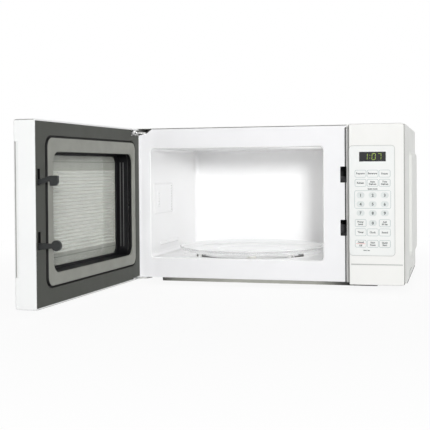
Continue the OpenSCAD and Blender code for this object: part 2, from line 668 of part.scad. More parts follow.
// smoked lens filling the window
module display_window() color("black") cabinet()
    box([disp_x0, front_y, disp_z0], [disp_x1, skin_y, disp_z1]);
module display_module() color("darkslategray") cabinet()
    box([disp_x0 + 2, skin_y, disp_z0 - 1], [disp_x1 - 2, board_y, disp_z1 + 1]);
module control_board() color("darkgreen") cabinet() {
    box([panel_x0 + 4.5, board_y, key_z0], [body_w - 4.5, board_y + 1.6, key_z1 + 18]);
    box([panel_cx - 14, board_y + 1.6, key_z0 + 14], [panel_cx + 14, board_y + 22, key_z0 + 46]);
    for (z = [key_z0 + 48, key_z0 + 70]) box([body_w - 30.5, board_y + 1.6, z], [body_w - 12.5, board_y + 17, z + 18]);
    rod_y(panel_cx - 8, board_y + 1.6, board_y + 20, key_z1 - 46.8, 7);
    box([panel_cx - 15, board_y + 1.6, key_z1 - 72], [panel_cx + 15, board_y + 5, key_z1 - 60]);
}

// ---------- hinges and latch, on the cabinet ----------

module hinge_arm() {
    translate([pin_x, pin_y]) circle(tongue_r);
    polygon([[pin_x - 2.6, pin_y + 2.6], [6, 3.5], [6, 14], [23, 14], [18.3, 0.8], [pin_x + 2.6, pin_y - 2.6]]);
}
module upper_hinge_bracket() color("silver") cabinet() {
    plate_z(top_tongue_z, tongue_t) hinge_arm();
    plate_y(sheet, tongue_t) translate([6, top_tongue_z - 26]) square([12.3, 26 + tongue_t]);
    rod_z(pin_x, pin_y, top_tongue_z - 3.3, top_tongue_z + tongue_t, pin_r);
}
module lower_hinge_bracket() color("silver") cabinet() {
    plate_z(low_tongue_z, tongue_t) hinge_arm();
    plate_y(sheet, tongue_t) translate([6, low_tongue_z]) square([12.3, 30]);
    rod_z(pin_x, pin_y, low_tongue_z, low_tongue_z + tongue_t + 3.3, pin_r);
}

// plastic board behind the slots, with the catches and shelves for the switches
sw_y = 28;
shelf_hi = hook_hi - 2.5;
shelf_lo = hook_lo - 4.4;
module latch_board() color("dimgray") cabinet() {
    difference() {
        box([slot_x0 - 8, sheet, hook_lo - 16], [board_x1 + 7, sheet + 2, hook_hi + 34]);
        for (z = [hook_hi - 3.2, hook_lo - 2.3])
            box([slot_x0 - 0.5, 0, z], [slot_x1 + 0.5, 4, z + 26.4]);
    }
    // side wall
    box([board_x1, sheet + 2 - eps, hook_lo - 16], [board_x1 + 3, sw_y + 26, hook_hi + 34]);
    // catches that the hooks drop behind
    box([slot_x0 - 0.5, catch_y0, hook_hi - 4], [board_x1 + eps, catch_y1, hook_hi + 3.7]);
    box([slot_x0 - 0.5, catch_y0, hook_lo - 4.5], [board_x1 + eps, catch_y1, hook_lo + 2.3]);
    // shelves under the switches
    box([slot_x0 - 14, upper_reach + 5, shelf_hi - 2], [board_x1 + eps, sw_y + 26, shelf_hi]);
    box([slot_x0 - 14, lower_c[0] + lower_r + 3.3, shelf_lo - 2], [board_x1 + eps, sw_y + 26, shelf_lo]);
}

sw_x = hook_x + hook_t / 2;             // plungers stand behind the hooks
sw_t = 9.4;
module switch_body(y, z) difference() {
    box([sw_x - 15, y, z], [board_x1 - eps, y + 15.9, z + sw_t]);
    rod_y(sw_x, y - 1, y + 4, z + sw_t / 2, 1.5 + run);
}
module plunger(y, z) rod_y(sw_x, y - 2.4, y + 4 - plunger_travel - 0.3, z + sw_t / 2, 1.5);
sw_upper = upper_reach + 0.4 + 2.4;
sw_lower = lower_c[0] + lower_r + 0.4 + 2.4;
module primary_switch() color("black") cabinet() switch_body(sw_upper, shelf_hi);
module secondary_switch() color("black") cabinet() switch_body(sw_lower, shelf_lo);
module monitor_switch() color("dimgray") cabinet() switch_body(sw_lower, shelf_lo + sw_t);
module primary_plunger() color("firebrick") cabinet() plunger(sw_upper, shelf_hi);
module secondary_plunger() color("firebrick") cabinet() plunger(sw_lower, shelf_lo);
module monitor_plunger() color("firebrick") cabinet() plunger(sw_lower, shelf_lo + sw_t);

// pan-head screws that hold the wrap to the rear panel, and one in the rear panel
module cover_screws() color("silver") cabinet() {
    for (x = [24, body_w / 2, body_w - 24], z = [16, body_h - 14]) {
        rod_y(x, rear_y - 0.5, rear_y + 1.5, z, 3.6);
    }
}

// loom of wires from the circuit board back to the transformer's coil
loom_x = panel_x0 + 14;
loom_z = floor_z + 54;
module wiring_harness() color("firebrick") cabinet() {
    rod_y(loom_x, board_y + 1.6, tr_y[0] - 17, loom_z, 2.6);
    rod_z(loom_x, 20, floor_z, loom_z, 2.2);
}

// ---------- door, drawn closed ----------

module hinge_notches(x0, y0) {
    box([x0, y0, door_z1 - 11.3], [door_x + notch_w, 1, door_z1 - door_wall]);
    box([x0, y0, door_z0 - 1], [door_x + notch_w, 1, door_z0 + 5]);
}

// moulded outside of the door with the finger scoop in its free edge
scoop_z = [40, body_h - 30];
module door_shell() color("white") door() {
    difference() {
        union() {
            difference() {
                box([door_x, front_y, door_z0], [door_x1, door_y1, door_z1]);
                box([door_x + door_wall, skin_y, door_z0 + door_wall], [door_x1 - door_wall, 1, door_z1 - door_wall]);
            }
            box([door_x1 - 9, front_y + 0.5, scoop_z[0] - 3], [door_x1 - 0.5, front_y + 9.4, scoop_z[1] + 3]);
        }
        // scoop, a deep groove behind the door's front skin and a shallow ramp beside it
        plate_z(scoop_z[0], scoop_z[1] - scoop_z[0]) polygon([[door_x1 + 1, front_y + 1.4], [door_x1 - 6.4, front_y + 1.4],
            [door_x1 - 6.4, front_y + 4.3], [door_x1 - 1, front_y + 4.6], [door_x1, front_y + 8.6], [door_x1 + 1, front_y + 8.8]]);
        // window opening
        plate_y(front_y - 1, skin_t + 2) rrect([pane_x0, pane_z0], [pane_x1, pane_z1], 6);
        // softened upright edges
        for (s = [0, 1]) translate([s ? door_x1 : door_x, front_y, door_z0 - 1]) mirror([s, 0, 0]) difference() {
            translate([-1, -1, 0]) cube([3, 3, body_h + 4]);
            translate([2, 2, -1]) cylinder(h = body_h + 6, r = 2);
        }
        hinge_notches(door_x - 1, frame_y1 - 4.4);
    }
    // posts that carry the steel frame
    for (x = [door_x + 17, cav_cx, seal_x1 + 6], z = [door_z0 + 18, door_z1 - 18])
        rod_y(x, skin_y - eps, frame_y0, z, 4);
}

// slots for the hooks, shared by every layer they pass through
module hook_slots(y0, y1) {
    box([hook_x - 0.8, y0, hook_hi + 0.7], [hook_x1 + 0.8, y1, hook_hi + 0.7 + 22]);
    box([hook_x - 0.8, y0, hook_lo + 0.9], [hook_x1 + 0.8, y1, hook_lo + 0.9 + 24]);
}

// steel ring with the hinge plates
module door_frame() color("gray") door() {
    difference() {
        box([door_x + 3.5, frame_y0, door_z0 + 3.5], [door_x1 - 4.5, frame_y1, door_z1 - 3.5]);
        plate_y(frame_y0 - 1, 4) rrect([win_x0 - 2.2, win_z0 - 2.2], [win_x1 + 2.2, win_z1 + 2.2], window_r + 2.2);
        hook_slots(frame_y0 - 1, frame_y1 + 1);
        box([door_x, frame_y0 - 1, top_tongue_z - 0.3], [door_x + notch_w + 1, frame_y1 + 1, door_z1]);
        box([door_x, frame_y0 - 1, door_z0 - 1], [door_x + notch_w + 1, frame_y1 + 1, low_tongue_z + tongue_t + 0.3]);
    }
    for (z = [top_tongue_z - 0.3 - plate_t, low_tongue_z + tongue_t + 0.3]) difference() {
        plate_z(z, plate_t) {
            translate([pin_x, pin_y]) circle(pin_in - 0.2);
            translate([pin_x, frame_y0]) square([notch_w - pin_in - 1, door_y1 - 0.4 - frame_y0]);
            translate([door_x + 0.2, frame_y0]) square([pin_in, pin_y - frame_y0]);
        }
        rod_z(pin_x, pin_y, z - 1, z + plate_t + 1, pin_r + run);
    }
}

// dark plastic cover round the seal panel
module door_choke_cover() color("dimgray") door() difference() {
    union() {
        box([door_x + door_wall, door_y1 - choke_t, door_z0 + door_wall], [door_x1 - door_wall, door_y1, door_z1 - door_wall]);
        difference() {
            box([door_x + 5, frame_y1, door_z0 + 5], [door_x1 - 5.5, door_y1 - choke_t + eps, door_z1 - 5]);
            box([door_x + 7, frame_y1 - 1, door_z0 + 7], [door_x1 - 7.5, door_y1, door_z1 - 7]);
        }
    }
    plate_y(frame_y1 - 1, 8) rrect([seal_x0 - 2.5, seal_z0 - 2.5], [seal_x1 + 2.5, seal_z1 + 2.5], seal_r + 2.5);
    hook_slots(frame_y1 - 1, 1);
    hinge_notches(door_x, frame_y1 - 1);
}

// raised panel that meets the front frame round the cavity
module door_seal_panel() color("gray") door() {
    plate_y(seal_y1 - 3, 3) difference() {
        rrect([seal_x0, seal_z0], [seal_x1, seal_z1], seal_r);
        rrect([win_x0, win_z0], [win_x1, win_z1], window_r);
    }
    plate_y(frame_y1, seal_y1 - 3 - frame_y1 + eps) difference() {
        rrect([seal_x0, seal_z0], [seal_x1, seal_z1], seal_r);
        rrect([seal_x0 + 2, seal_z0 + 2], [seal_x1 - 2, seal_z1 - 2], seal_r - 2);
    }
}

// deep glossy surround between the seal panel and the screen
step_in = 4;
step_y = -15.5;
module door_well() color("black") door() difference() {
    plate_y(well_y0, well_y1 - well_y0) rrect([win_x0 - 2, win_z0 - 2], [win_x1 + 2, win_z1 + 2], window_r + 2);
    plate_y(step_y, well_y1 - step_y + 1) rrect([win_x0, win_z0], [win_x1, win_z1], window_r);
    plate_y(well_y0 - 1, well_y1 - well_y0 + 2) rrect([win_x0 + step_in, win_z0 + step_in], [win_x1 - step_in, win_z1 - step_in], window_r - step_in);
}

// steel screen, its small holes left to its finish
module door_screen() color("silver") door()
    plate_y(screen_y, screen_t) rrect([win_x0 - 2, win_z0 - 2], [win_x1 + 2, win_z1 + 2], window_r + 2);

// clear film on the screen
module door_film() color("lightgray", 0.4) door()
    plate_y(well_y0, 0.3) rrect([win_x0 + step_in, win_z0 + step_in], [win_x1 - step_in, win_z1 - step_in], window_r - step_in);

// outer pane, stepped to sit in the shell's window
module door_glass() color("slategray", 0.4) door() {
    plate_y(front_y + 0.2, skin_t - 0.2 + eps) rrect([pane_x0, pane_z0], [pane_x1, pane_z1], 6);
    plate_y(skin_y, pane_t) rrect([pane_x0 - pane_lip, pane_z0 - pane_lip], [pane_x1 + pane_lip, pane_z1 + pane_lip], 8);
}

// channel behind the steel frame that guides the latch slide
guide_z = [hook_lo - 14, hook_hi + 34];
module latch_guide() color("ivory") door() difference() {
    box([hook_x - slide - 2, bar_y0 - 2.4, guide_z[0]], [hook_x1 + slide + 2, frame_y0, guide_z[1]]);
    box([hook_x - slide, bar_y0 - slide, guide_z[0] + 2], [hook_x1 + slide, frame_y0 + 1, guide_z[1] - 2]);
}

// one sprung slide with both hooks
bar_z = [hook_lo - 6, hook_hi + 14];
module latch_hooks() color("dimgray") door() plate_x(hook_x, hook_t) {
    translate([bar_y0, bar_z[0]]) square([bar_y1 - bar_y0, bar_z[1] - bar_z[0]]);
    polygon([[bar_y1 - 1, hook_hi + 1.3], [door_y1, hook_hi + 1.3], [nose_y, hook_hi + 6.5], [nose_y, hook_hi],
        [upper_reach - 3, hook_hi], [upper_reach, hook_hi + 3.5], [upper_reach, hook_hi + 13.5],
        [nose_y + 1, hook_hi + 13.5], [door_y1, hook_hi + 8], [bar_y1 - 1, hook_hi + 8]]);
    polygon([[bar_y1 - 1, hook_lo + 1.4], [door_y1, hook_lo + 1.4], [lower_c[0] - 5, hook_lo + 4],
        [lower_c[0] - 5, hook_lo + 11], [door_y1, hook_lo + 10], [bar_y1 - 1, hook_lo + 10]]);
    translate(lower_c) circle(lower_r);
}

// compression spring above the slide
spring_z = [bar_z[1], guide_z[1] - 2];
spring_turns = 6;
module latch_spring() color("silver") door()
    for (i = [0:spring_turns - 1])
        translate([hook_x + hook_t / 2, (bar_y0 + bar_y1) / 2, spring_z[0] + 0.5 + i * (spring_z[1] - spring_z[0] - 1) / (spring_turns - 1)])
            rotate_extrude() translate([1.9, 0]) circle(r = 0.5, $fn = 16);

outer_cover();
rear_panel();
base_pan();
feet();
front_frame();
cavity_shell();
waveguide_cover();
waveguide();
magnetron();
magnetron_core();
transformer_core();
transformer_windings();
capacitor();
capacitor_clamp();
diode();
fan_motor();
fan_shroud();
oven_lamp();
lamp_holder();
filter_board();
fuse();
thermal_cutout();
turntable_motor();
cord_gland();
control_bezel();
keypad_membrane();
display_window();
display_module();
control_board();
upper_hinge_bracket();
lower_hinge_bracket();
latch_board();
primary_switch();
secondary_switch();
monitor_switch();
cover_screws();
wiring_harness();
drive_coupler();
motor_shaft();
glass_tray();
roller_ring();
roller_wheel_1();
roller_wheel_2();
roller_wheel_3();
fan_blade();
door_shell();
door_frame();
door_choke_cover();
door_seal_panel();
door_well();
door_screen();
door_film();
door_glass();
latch_guide();
latch_hooks();
latch_spring();
primary_plunger();
secondary_plunger();
monitor_plunger();
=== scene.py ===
import json
import math

import bmesh
import bpy
from mathutils import Matrix, Vector


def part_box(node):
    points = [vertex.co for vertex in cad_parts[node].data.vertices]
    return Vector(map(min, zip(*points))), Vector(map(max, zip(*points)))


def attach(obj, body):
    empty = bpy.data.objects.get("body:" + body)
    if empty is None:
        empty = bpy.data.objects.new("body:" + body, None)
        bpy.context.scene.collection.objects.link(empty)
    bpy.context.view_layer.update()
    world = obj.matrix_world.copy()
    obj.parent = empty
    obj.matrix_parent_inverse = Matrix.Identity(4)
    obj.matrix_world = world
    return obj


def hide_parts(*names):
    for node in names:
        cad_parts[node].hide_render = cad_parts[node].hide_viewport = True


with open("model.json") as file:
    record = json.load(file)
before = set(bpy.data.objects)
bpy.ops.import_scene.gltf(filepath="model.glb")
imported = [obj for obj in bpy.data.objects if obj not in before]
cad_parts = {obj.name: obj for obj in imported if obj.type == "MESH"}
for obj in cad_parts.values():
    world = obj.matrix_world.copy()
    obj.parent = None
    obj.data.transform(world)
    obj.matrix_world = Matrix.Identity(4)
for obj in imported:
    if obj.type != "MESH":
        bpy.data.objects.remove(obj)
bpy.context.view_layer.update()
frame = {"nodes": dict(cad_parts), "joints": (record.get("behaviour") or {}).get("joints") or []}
nodes = frame["nodes"]

# ---------------------------------------------------------------- studio
# A worktop-pale floor without a visible edge under soft white light. One broad
# lamp stands in front of the oven, a little to its right and above, and a second,
# larger one fills its right side. The camera looks in from front right.


def new_object(name, data):
    """Puts a mesh, curve, lamp or camera into the scene."""
    made = bpy.data.objects.new(name, data)
    bpy.context.scene.collection.objects.link(made)
    return made


def node(tree, kind, feed=None, **settings):
    """Adds a node. Settings are its attributes; feed gives an input a value, or an output or
    a list of outputs that it is linked to."""
    made = tree.nodes.new(kind)
    for key, value in settings.items():
        setattr(made, key, value)
    for key, values in (feed or {}).items():
        for value in values if isinstance(values, list) else [values]:
            if isinstance(value, bpy.types.NodeSocket):
                tree.links.new(value, made.inputs[key])
            else:
                made.inputs[key].default_value = value
    return made


def maths(tree, operation, *values):
    """The result of one operation on numbers or outputs."""
    return node(tree, "ShaderNodeMath", dict(enumerate(values)), operation=operation).outputs[0]


def ranged(tree, value, start=0.0, end=1.0, low=0.0, high=1.0, easing="LINEAR"):
    """Goes from low to high while value goes from start to end."""
    return node(tree, "ShaderNodeMapRange", {"Value": value, "From Min": start, "From Max": end,
                                             "To Min": low, "To Max": high}, interpolation_type=easing).outputs[0]


def object_place(tree):
    return node(tree, "ShaderNodeTexCoord").outputs["Object"]


def seen_directly(tree):
    """1 for rays that come from the camera, from a gloss or through glass, and 0 for the rest."""
    ray = node(tree, "ShaderNodeLightPath").outputs
    return maths(tree, "MAXIMUM", ray["Is Transmission Ray"],
                 maths(tree, "MAXIMUM", ray["Is Camera Ray"], ray["Is Glossy Ray"]))


def emptied(owner):
    """The node tree of a material or world, with nothing in it."""
    owner.use_nodes = True
    owner.node_tree.nodes.clear()
    return owner.node_tree


floor_reach, floor_level = 30, -0.0005
floor_mesh = bpy.data.meshes.new("studio_floor")
floor_mesh.from_pydata([(x * floor_reach, y * floor_reach, floor_level)
                        for x, y in ((-1, -1), (1, -1), (1, 1), (-1, 1))], [], [(0, 1, 2, 3)])
studio_floor = new_object("studio_floor", floor_mesh)
floor_paint = bpy.data.materials.new("floor_paint")
tree = emptied(floor_paint)
away = node(tree, "ShaderNodeVectorMath", {0: object_place(tree)}, operation="LENGTH")
whiter = ranged(tree, away.outputs["Value"], 0.35, 1.1, 0.92, 1.0, "SMOOTHSTEP")
matt = node(tree, "ShaderNodeBsdfDiffuse", {"Color": (0.93, 0.93, 0.93, 1)})
glow = node(tree, "ShaderNodeEmission")
mixed = node(tree, "ShaderNodeMixShader", {"Fac": maths(tree, "MULTIPLY", seen_directly(tree), whiter),
                                           1: matt.outputs[0], 2: glow.outputs[0]})
node(tree, "ShaderNodeOutputMaterial", {"Surface": mixed.outputs[0]})
floor_mesh.materials.append(floor_paint)

world = bpy.data.worlds.new("studio")
bpy.context.scene.world = world
tree = emptied(world)
white = (1, 1, 1, 1)
soft_light = node(tree, "ShaderNodeBackground", {"Color": white, "Strength": 0.405})
backdrop = node(tree, "ShaderNodeBackground", {"Color": white, "Strength": 1.0})
mixed = node(tree, "ShaderNodeMixShader", {"Fac": seen_directly(tree), 1: soft_light.outputs[0],
                                           2: backdrop.outputs[0]})
node(tree, "ShaderNodeOutputWorld", {"Surface": mixed.outputs[0]})


def lamp(name, place, aim, size, watts):
    """A square lamp at place that faces aim."""
    data = bpy.data.lights.new(name, "AREA")
    data.size, data.energy = size, watts
    made = new_object(name, data)
    made.location = place
    made.rotation_mode = "QUATERNION"
    made.rotation_quaternion = (Vector(aim) - Vector(place)).to_track_quat("-Z", "Y")


lamp("front_lamp", place=(0.85, -2.75, 0.58), aim=(-0.03, 0.15, 0.12), size=0.30, watts=47)
lamp("side_lamp", place=(2.9, -0.3, 0.9), aim=(0.1, 0.1, 0.12), size=1.6, watts=8)

camera = new_object("camera", bpy.data.cameras.new("camera"))
bpy.context.scene.camera = camera
camera.data.sensor_width, camera.data.lens, camera.data.clip_end = 36, 75.01, 100
camera.data.shift_x, camera.data.shift_y = 0.0032, -0.0719
camera_place = (0.31608, -1.39963, 0.19321)
yaw, pitch, roll = (math.radians(a) for a in (15.20, -0.98, -0.44))
ahead = Vector((-math.sin(yaw) * math.cos(pitch), math.cos(yaw) * math.cos(pitch), math.sin(pitch)))
level = Vector((math.cos(yaw), math.sin(yaw), 0))
upward = level.cross(ahead)
right = level * math.cos(roll) + upward * math.sin(roll)
upward = upward * math.cos(roll) - level * math.sin(roll)
turn = Matrix((right, upward, -ahead)).transposed().to_4x4()
camera.matrix_world = Matrix.Translation(camera_place) @ turn
bpy.context.scene.view_settings.view_transform = "Standard"

# ---------------------------------------------------------------- base pan
# The base pan is a tray of galvanised steel under the whole oven. It is pressed and
# spot-welded to the front plate, and its lip closes the gap under that plate. Four
# rubber feet are pushed into it.


def shade_group(name, ins):
    """An empty shader group with named inputs, given as name: default."""
    group = bpy.data.node_groups.new(name, "ShaderNodeTree")
    for label, value in ins.items():
        kind = "NodeSocketColor" if isinstance(value, tuple) else "NodeSocketFloat"
        group.interface.new_socket(name=label, in_out="INPUT", socket_type=kind).default_value = value
    return group, node(group, "NodeGroupInput").outputs


def put_out(group, **results):
    """Ends a shader group with these outputs."""
    for label, socket in results.items():
        kind = "NodeSocketColor" if label == "Colour" else "NodeSocketFloat"
        group.interface.new_socket(name=label, in_out="OUTPUT", socket_type=kind)
    node(group, "NodeGroupOutput", results)


def noise(tree, waves, detail):
    """Soft noise over the object, with this many waves to the metre."""
    return node(tree, "ShaderNodeTexNoise", {"Vector": object_place(tree), "Scale": waves,
                                             "Detail": detail}).outputs["Fac"]


# Colour and gloss that wander a little over a surface, as paint and mouldings do
drift, given = shade_group("colour_drift", {"Size": 0.02, "Colour": (0.8, 0.8, 0.8, 1),
                                            "Second Colour": (0.7, 0.7, 0.7, 1), "Gloss Low": 0.3, "Gloss High": 0.4})
clouds = noise(drift, maths(drift, "DIVIDE", 1, given["Size"]), 4)
tint = node(drift, "ShaderNodeMix", {"Factor": ranged(drift, clouds, 0.35, 0.65), 6: given["Colour"],
                                     7: given["Second Colour"]}, data_type="RGBA")
put_out(drift, Colour=tint.outputs[2],
        Roughness=ranged(drift, clouds, 0.3, 0.7, given["Gloss Low"], given["Gloss High"]))

# Fine relief: the orange peel of paint, the spark-eroded grain of a moulding
coarse_to_fine = 0.22                                    # waves of the coarse grain to one of the fine
relief, given = shade_group("fine_relief", {"Size": 0.001, "Coarse Share": 0.3})
fine_pitch = maths(relief, "DIVIDE", 1, given["Size"])
both = node(relief, "ShaderNodeMix", {"Factor": given["Coarse Share"], 2: noise(relief, fine_pitch, 2),
                                      3: noise(relief, maths(relief, "MULTIPLY", fine_pitch, coarse_to_fine), 2)},
            data_type="FLOAT")
put_out(relief, Height=both.outputs[0])


def principled(material):
    return material.node_tree.nodes["Principled BSDF"].inputs


def drive(material, label, socket):
    """Lets a node's output set one input of the material's shader."""
    material.node_tree.links.new(socket, principled(material)[label])


def finish(name, colour, second, gloss, patch=0.03, grain=0.0008, depth=0.00002, coarse=0.3, strength=1.0,
           **plain):
    """A material whose colour goes between two colours and whose roughness between two values in
    patches as wide as patch, with a relief as wide as grain and as high as depth, in metres; plain
    are values that stay the same all over."""
    material = bpy.data.materials.new(name)
    material.use_nodes = True
    tree = material.node_tree
    wander = node(tree, "ShaderNodeGroup", {"Size": patch, "Colour": (*colour, 1), "Second Colour": (*second, 1),
                                            "Gloss Low": gloss[0], "Gloss High": gloss[1]}, node_tree=drift)
    drive(material, "Base Color", wander.outputs["Colour"])
    drive(material, "Roughness", wander.outputs["Roughness"])
    skin = node(tree, "ShaderNodeGroup", {"Size": grain, "Coarse Share": coarse}, node_tree=relief)
    bump = node(tree, "ShaderNodeBump", {"Strength": strength, "Distance": depth, "Height": skin.outputs["Height"]})
    drive(material, "Normal", bump.outputs["Normal"])
    for label, value in plain.items():
        principled(material)[label.replace("_", " ")].default_value = value
    return material


def coat(node_name, material):
    """Gives a carried-over solid its material."""
    data = nodes[node_name].data
    data.materials.clear()
    data.materials.append(material)


def along(tree, axis):
    """How far a point of the object lies along an axis."""
    return node(tree, "ShaderNodeSeparateXYZ", {0: object_place(tree)}).outputs[axis]


def scale_colour(material, factor):
    """Multiplies a material's colour by a factor that varies over the surface."""
    plain_colour = principled(material)["Base Color"].links[0].from_socket
    scaled = node(material.node_tree, "ShaderNodeVectorMath", {0: plain_colour, "Scale": factor}, operation="SCALE")
    drive(material, "Base Color", scaled.outputs[0])


# Zinc shows as crystals a few millimetres wide, each with its own grey and gloss
zinc = finish("galvanised_sheet", (0.52, 0.53, 0.53), (0.60, 0.61, 0.61), (0.3, 0.45),
              patch=0.004, grain=0.0006, depth=0.00001, Metallic=1.0)
tree = zinc.node_tree
crystal_size = 1 / 240
crystals = node(tree, "ShaderNodeTexVoronoi", {"Vector": object_place(tree), "Scale": 1 / crystal_size}, feature="F1")
grey = node(tree, "ShaderNodeSeparateColor", {0: crystals.outputs["Color"]}).outputs
drive(zinc, "Base Color", ranged(tree, grey[0], low=0.46, high=0.64))
drive(zinc, "Roughness", ranged(tree, grey[1], low=0.26, high=0.48))
for name in ("rear_panel", "waveguide", "magnetron", "capacitor_clamp", "fan_shroud", "turntable_motor"):
    coat(name, zinc)

# The door's steel frame keeps its zinc at the hinges and is blackened round the window
bare_from, black_from, black_shade = 0.0295, 0.0315, 0.01          # metres in front of the plate; share of the grey
frame_zinc = zinc.copy()
frame_zinc.name = "blackened_frame"
tree = frame_zinc.node_tree
plate_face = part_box("front_frame")[0].y
unpainted = ranged(tree, along(tree, "Y"), plate_face - black_from, plate_face - bare_from)
scale_colour(frame_zinc, maths(tree, "MULTIPLY_ADD", unpainted, 1 - black_shade, black_shade))
drive(frame_zinc, "Metallic", unpainted)
coat("door_frame", frame_zinc)

# The pan's own sheet is duller. Its lip is painted with light and shade: dark at both ends, where the door and the
# control panel shade it, and a little lighter in the middle
pan_low, pan_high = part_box("base_pan")
dull_zinc = finish("dull_pan_sheet", (0.39, 0.392, 0.352), (0.365, 0.367, 0.33), (0.42, 0.52),
                   patch=0.02, grain=0.0006, depth=0.00001, Specular_IOR_Level=0.35)
tree = dull_zinc.node_tree
fade = node(tree, "ShaderNodeValToRGB", {0: ranged(tree, along(tree, "X"), pan_low.x, pan_high.x)})
ramp = fade.color_ramp.elements
for number, (at, shade) in enumerate(((0.105, 0.12), (0.155, 0.55), (0.40, 1.05), (0.68, 0.88), (0.745, 0.36),
                                      (0.78, 0.06))):
    stop = ramp[number] if number < 2 else ramp.new(at)
    stop.position, stop.color = at, (shade, shade, shade, 1)
scale_colour(dull_zinc, fade.outputs[0])
coat("base_pan", dull_zinc)

coat("feet", finish("foot_rubber", (0.030, 0.030, 0.031), (0.045, 0.045, 0.046), (0.65, 0.8),
                    patch=0.008, grain=0.0004, depth=0.00004))
coat("cord_gland", finish("gland_plastic", (0.022, 0.022, 0.023), (0.03, 0.03, 0.031), (0.4, 0.5),
                          patch=0.01, grain=0.0003, depth=0.00002))

# ---------------------------------------------------------------- front plate
# The front plate is one steel sheet, punched and painted white. It frames the oven's
# mouth, has two slots for the door's hooks and a corner cut away for the upper hinge.
# It and all pieces after it are drawn in millimetres from its lower left front corner.
MM = 0.001
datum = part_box("front_frame")[0].copy()


def rounded(x0, z0, x1, z1, radius, steps=6):
    """Outline of a rectangle with round corners, from its lower right corner, anticlockwise."""
    radii = radius if isinstance(radius, tuple) else (radius,) * 4
    points = []
    for (right_side, top_side, start), r in zip(((1, 0, -90), (1, 1, 0), (0, 1, 90), (0, 0, 180)), radii):
        middle_x = x1 - r if right_side else x0 + r
        middle_z = z1 - r if top_side else z0 + r
        for k in range(steps + 1):
            a = math.radians(start + 90 * k / steps)
            points.append((middle_x + r * math.cos(a), middle_z + r * math.sin(a)))
    return points


def fill(mesh, bm):
    """Puts a bmesh into a mesh, its doubles merged and its faces turned outwards."""
    bmesh.ops.remove_doubles(bm, verts=bm.verts, dist=0.0005)
    bmesh.ops.recalc_face_normals(bm, faces=bm.faces)
    bm.to_mesh(mesh)
    bm.free()
    return mesh


def settle(made):
    """Turns an object with its modifiers into a plain mesh."""
    bpy.context.view_layer.update()
    graph = bpy.context.evaluated_depsgraph_get()
    mesh = bpy.data.meshes.new_from_object(made.evaluated_get(graph))
    if made.type == "MESH":
        made.modifiers.clear()
        made.data = mesh
        return made
    name = made.name
    bpy.data.objects.remove(made)
    return new_object(name, mesh)


UPRIGHT = Matrix.Rotation(math.radians(90), 4, "X")                           # a drawing's Y becomes Z
SIDEWAYS = Matrix(((0, 0, 1, 0), (1, 0, 0, 0), (0, 1, 0, 0), (0, 0, 0, 1)))   # its X and Y become Y and Z


def sheet(name, outlines, thick, edge=0.2, axis="Y", start=0.0):
    """A flat plate with holes, its first outline the outside. It lies across X and Z and starts
    at start along Y, or across Y and Z along X, with its edges eased by edge."""
    curve = bpy.data.curves.new(name, "CURVE")
    curve.dimensions, curve.fill_mode = "2D", "BOTH"
    curve.extrude, curve.bevel_depth, curve.bevel_resolution, curve.offset = thick / 2 - edge, edge, 1, -edge
    for number, outline in enumerate(outlines):
        points = outline if number == 0 else outline[::-1]
        spline = curve.splines.new("POLY")
        spline.points.add(len(points) - 1)
        for point, (a, b) in zip(spline.points, points):
            point.co = (a, b, 0, 1)
        spline.use_cyclic_u = True
    made = settle(new_object(name, curve))
    middle = start + thick / 2
    made.data.transform(Matrix.Translation((0, middle, 0)) @ UPRIGHT if axis == "Y"
                        else Matrix.Translation((middle, 0, 0)) @ SIDEWAYS)
    bm = bmesh.new()
    bm.from_mesh(made.data)
    fill(made.data, bm)
    return made


def loft(name, rings, ends="capped"):
    """A skin over rings of equally many points; ends are capped, or joined into a ring."""
    bm = bmesh.new()
    rows = [[bm.verts.new(p) for p in ring] for ring in rings]
    for one, other in list(zip(rows, rows[1:])) + ([(rows[-1], rows[0])] if ends == "ring" else []):
        for i in range(len(one)):
            j = (i + 1) % len(one)
            bm.faces.new((one[i], one[j], other[j], other[i]))
    if ends == "capped":
        bm.faces.new(rows[0])
        bm.faces.new(rows[-1])
    return new_object(name, fill(bpy.data.meshes.new(name), bm))


def upright_rings(stations, steps=6):
    """Rings across X and Z from (x0, z0, x1, z1, corner radius, y)."""
    return [[(x, y, z) for x, z in rounded(x0, z0, x1, z1, r, steps)] for x0, z0, x1, z1, r, y in stations]


def around(box, by):
    """A box of four sides, wider by this much on each side."""
    return box[0] - by, box[1] - by, box[2] + by, box[3] + by


def block(name, box, radius, y0, y1, steps=6):
    """A straight block from y0 to y1 over the box (x0, z0, x1, z1)."""
    return loft(name, upright_rings([(*box, radius, y0), (*box, radius, y1)], steps))


def carve(made, tool, how="DIFFERENCE"):
    """Cuts the tool out of a piece, or joins it on with UNION."""
    cut = made.modifiers.new("carve", "BOOLEAN")
    cut.object, cut.operation, cut.solver = tool, how, "EXACT"
    settle(made)
    bpy.data.objects.remove(tool)
    return made


def join(first, *others, name=None):
    """Puts several meshes into the first, and gives it a new name if there is one."""
    bm = bmesh.new()
    for made in (first, *others):
        bm.from_mesh(made.data)
    bm.to_mesh(first.data)
    bm.free()
    for made in others:
        bpy.data.objects.remove(made)
    first.name = name or first.name
    return first


def dress(made, material, crease):
    """Gives a piece its material and smooth shading that breaks at edges sharper than crease."""
    if material is not None:
        made.data.materials.clear()
        made.data.materials.append(material)
    made.data.shade_smooth()
    made.data.set_sharp_from_angle(angle=math.radians(crease))


def seat(made, material, body, stands_for=(), crease=35, on=None):
    """Sets a piece drawn in millimetres down at its place on the oven, and lets it ride on its body."""
    made.data.transform(Matrix.Translation(datum) @ Matrix.Scale(MM, 4))
    if on is not None:
        made.data.transform(on)
    dress(made, material, crease)
    made.modifiers.new("even_shading", "WEIGHTED_NORMAL").keep_sharp = True
    settle(made)
    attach(made, body)
    if stands_for:
        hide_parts(*stands_for)
    return made


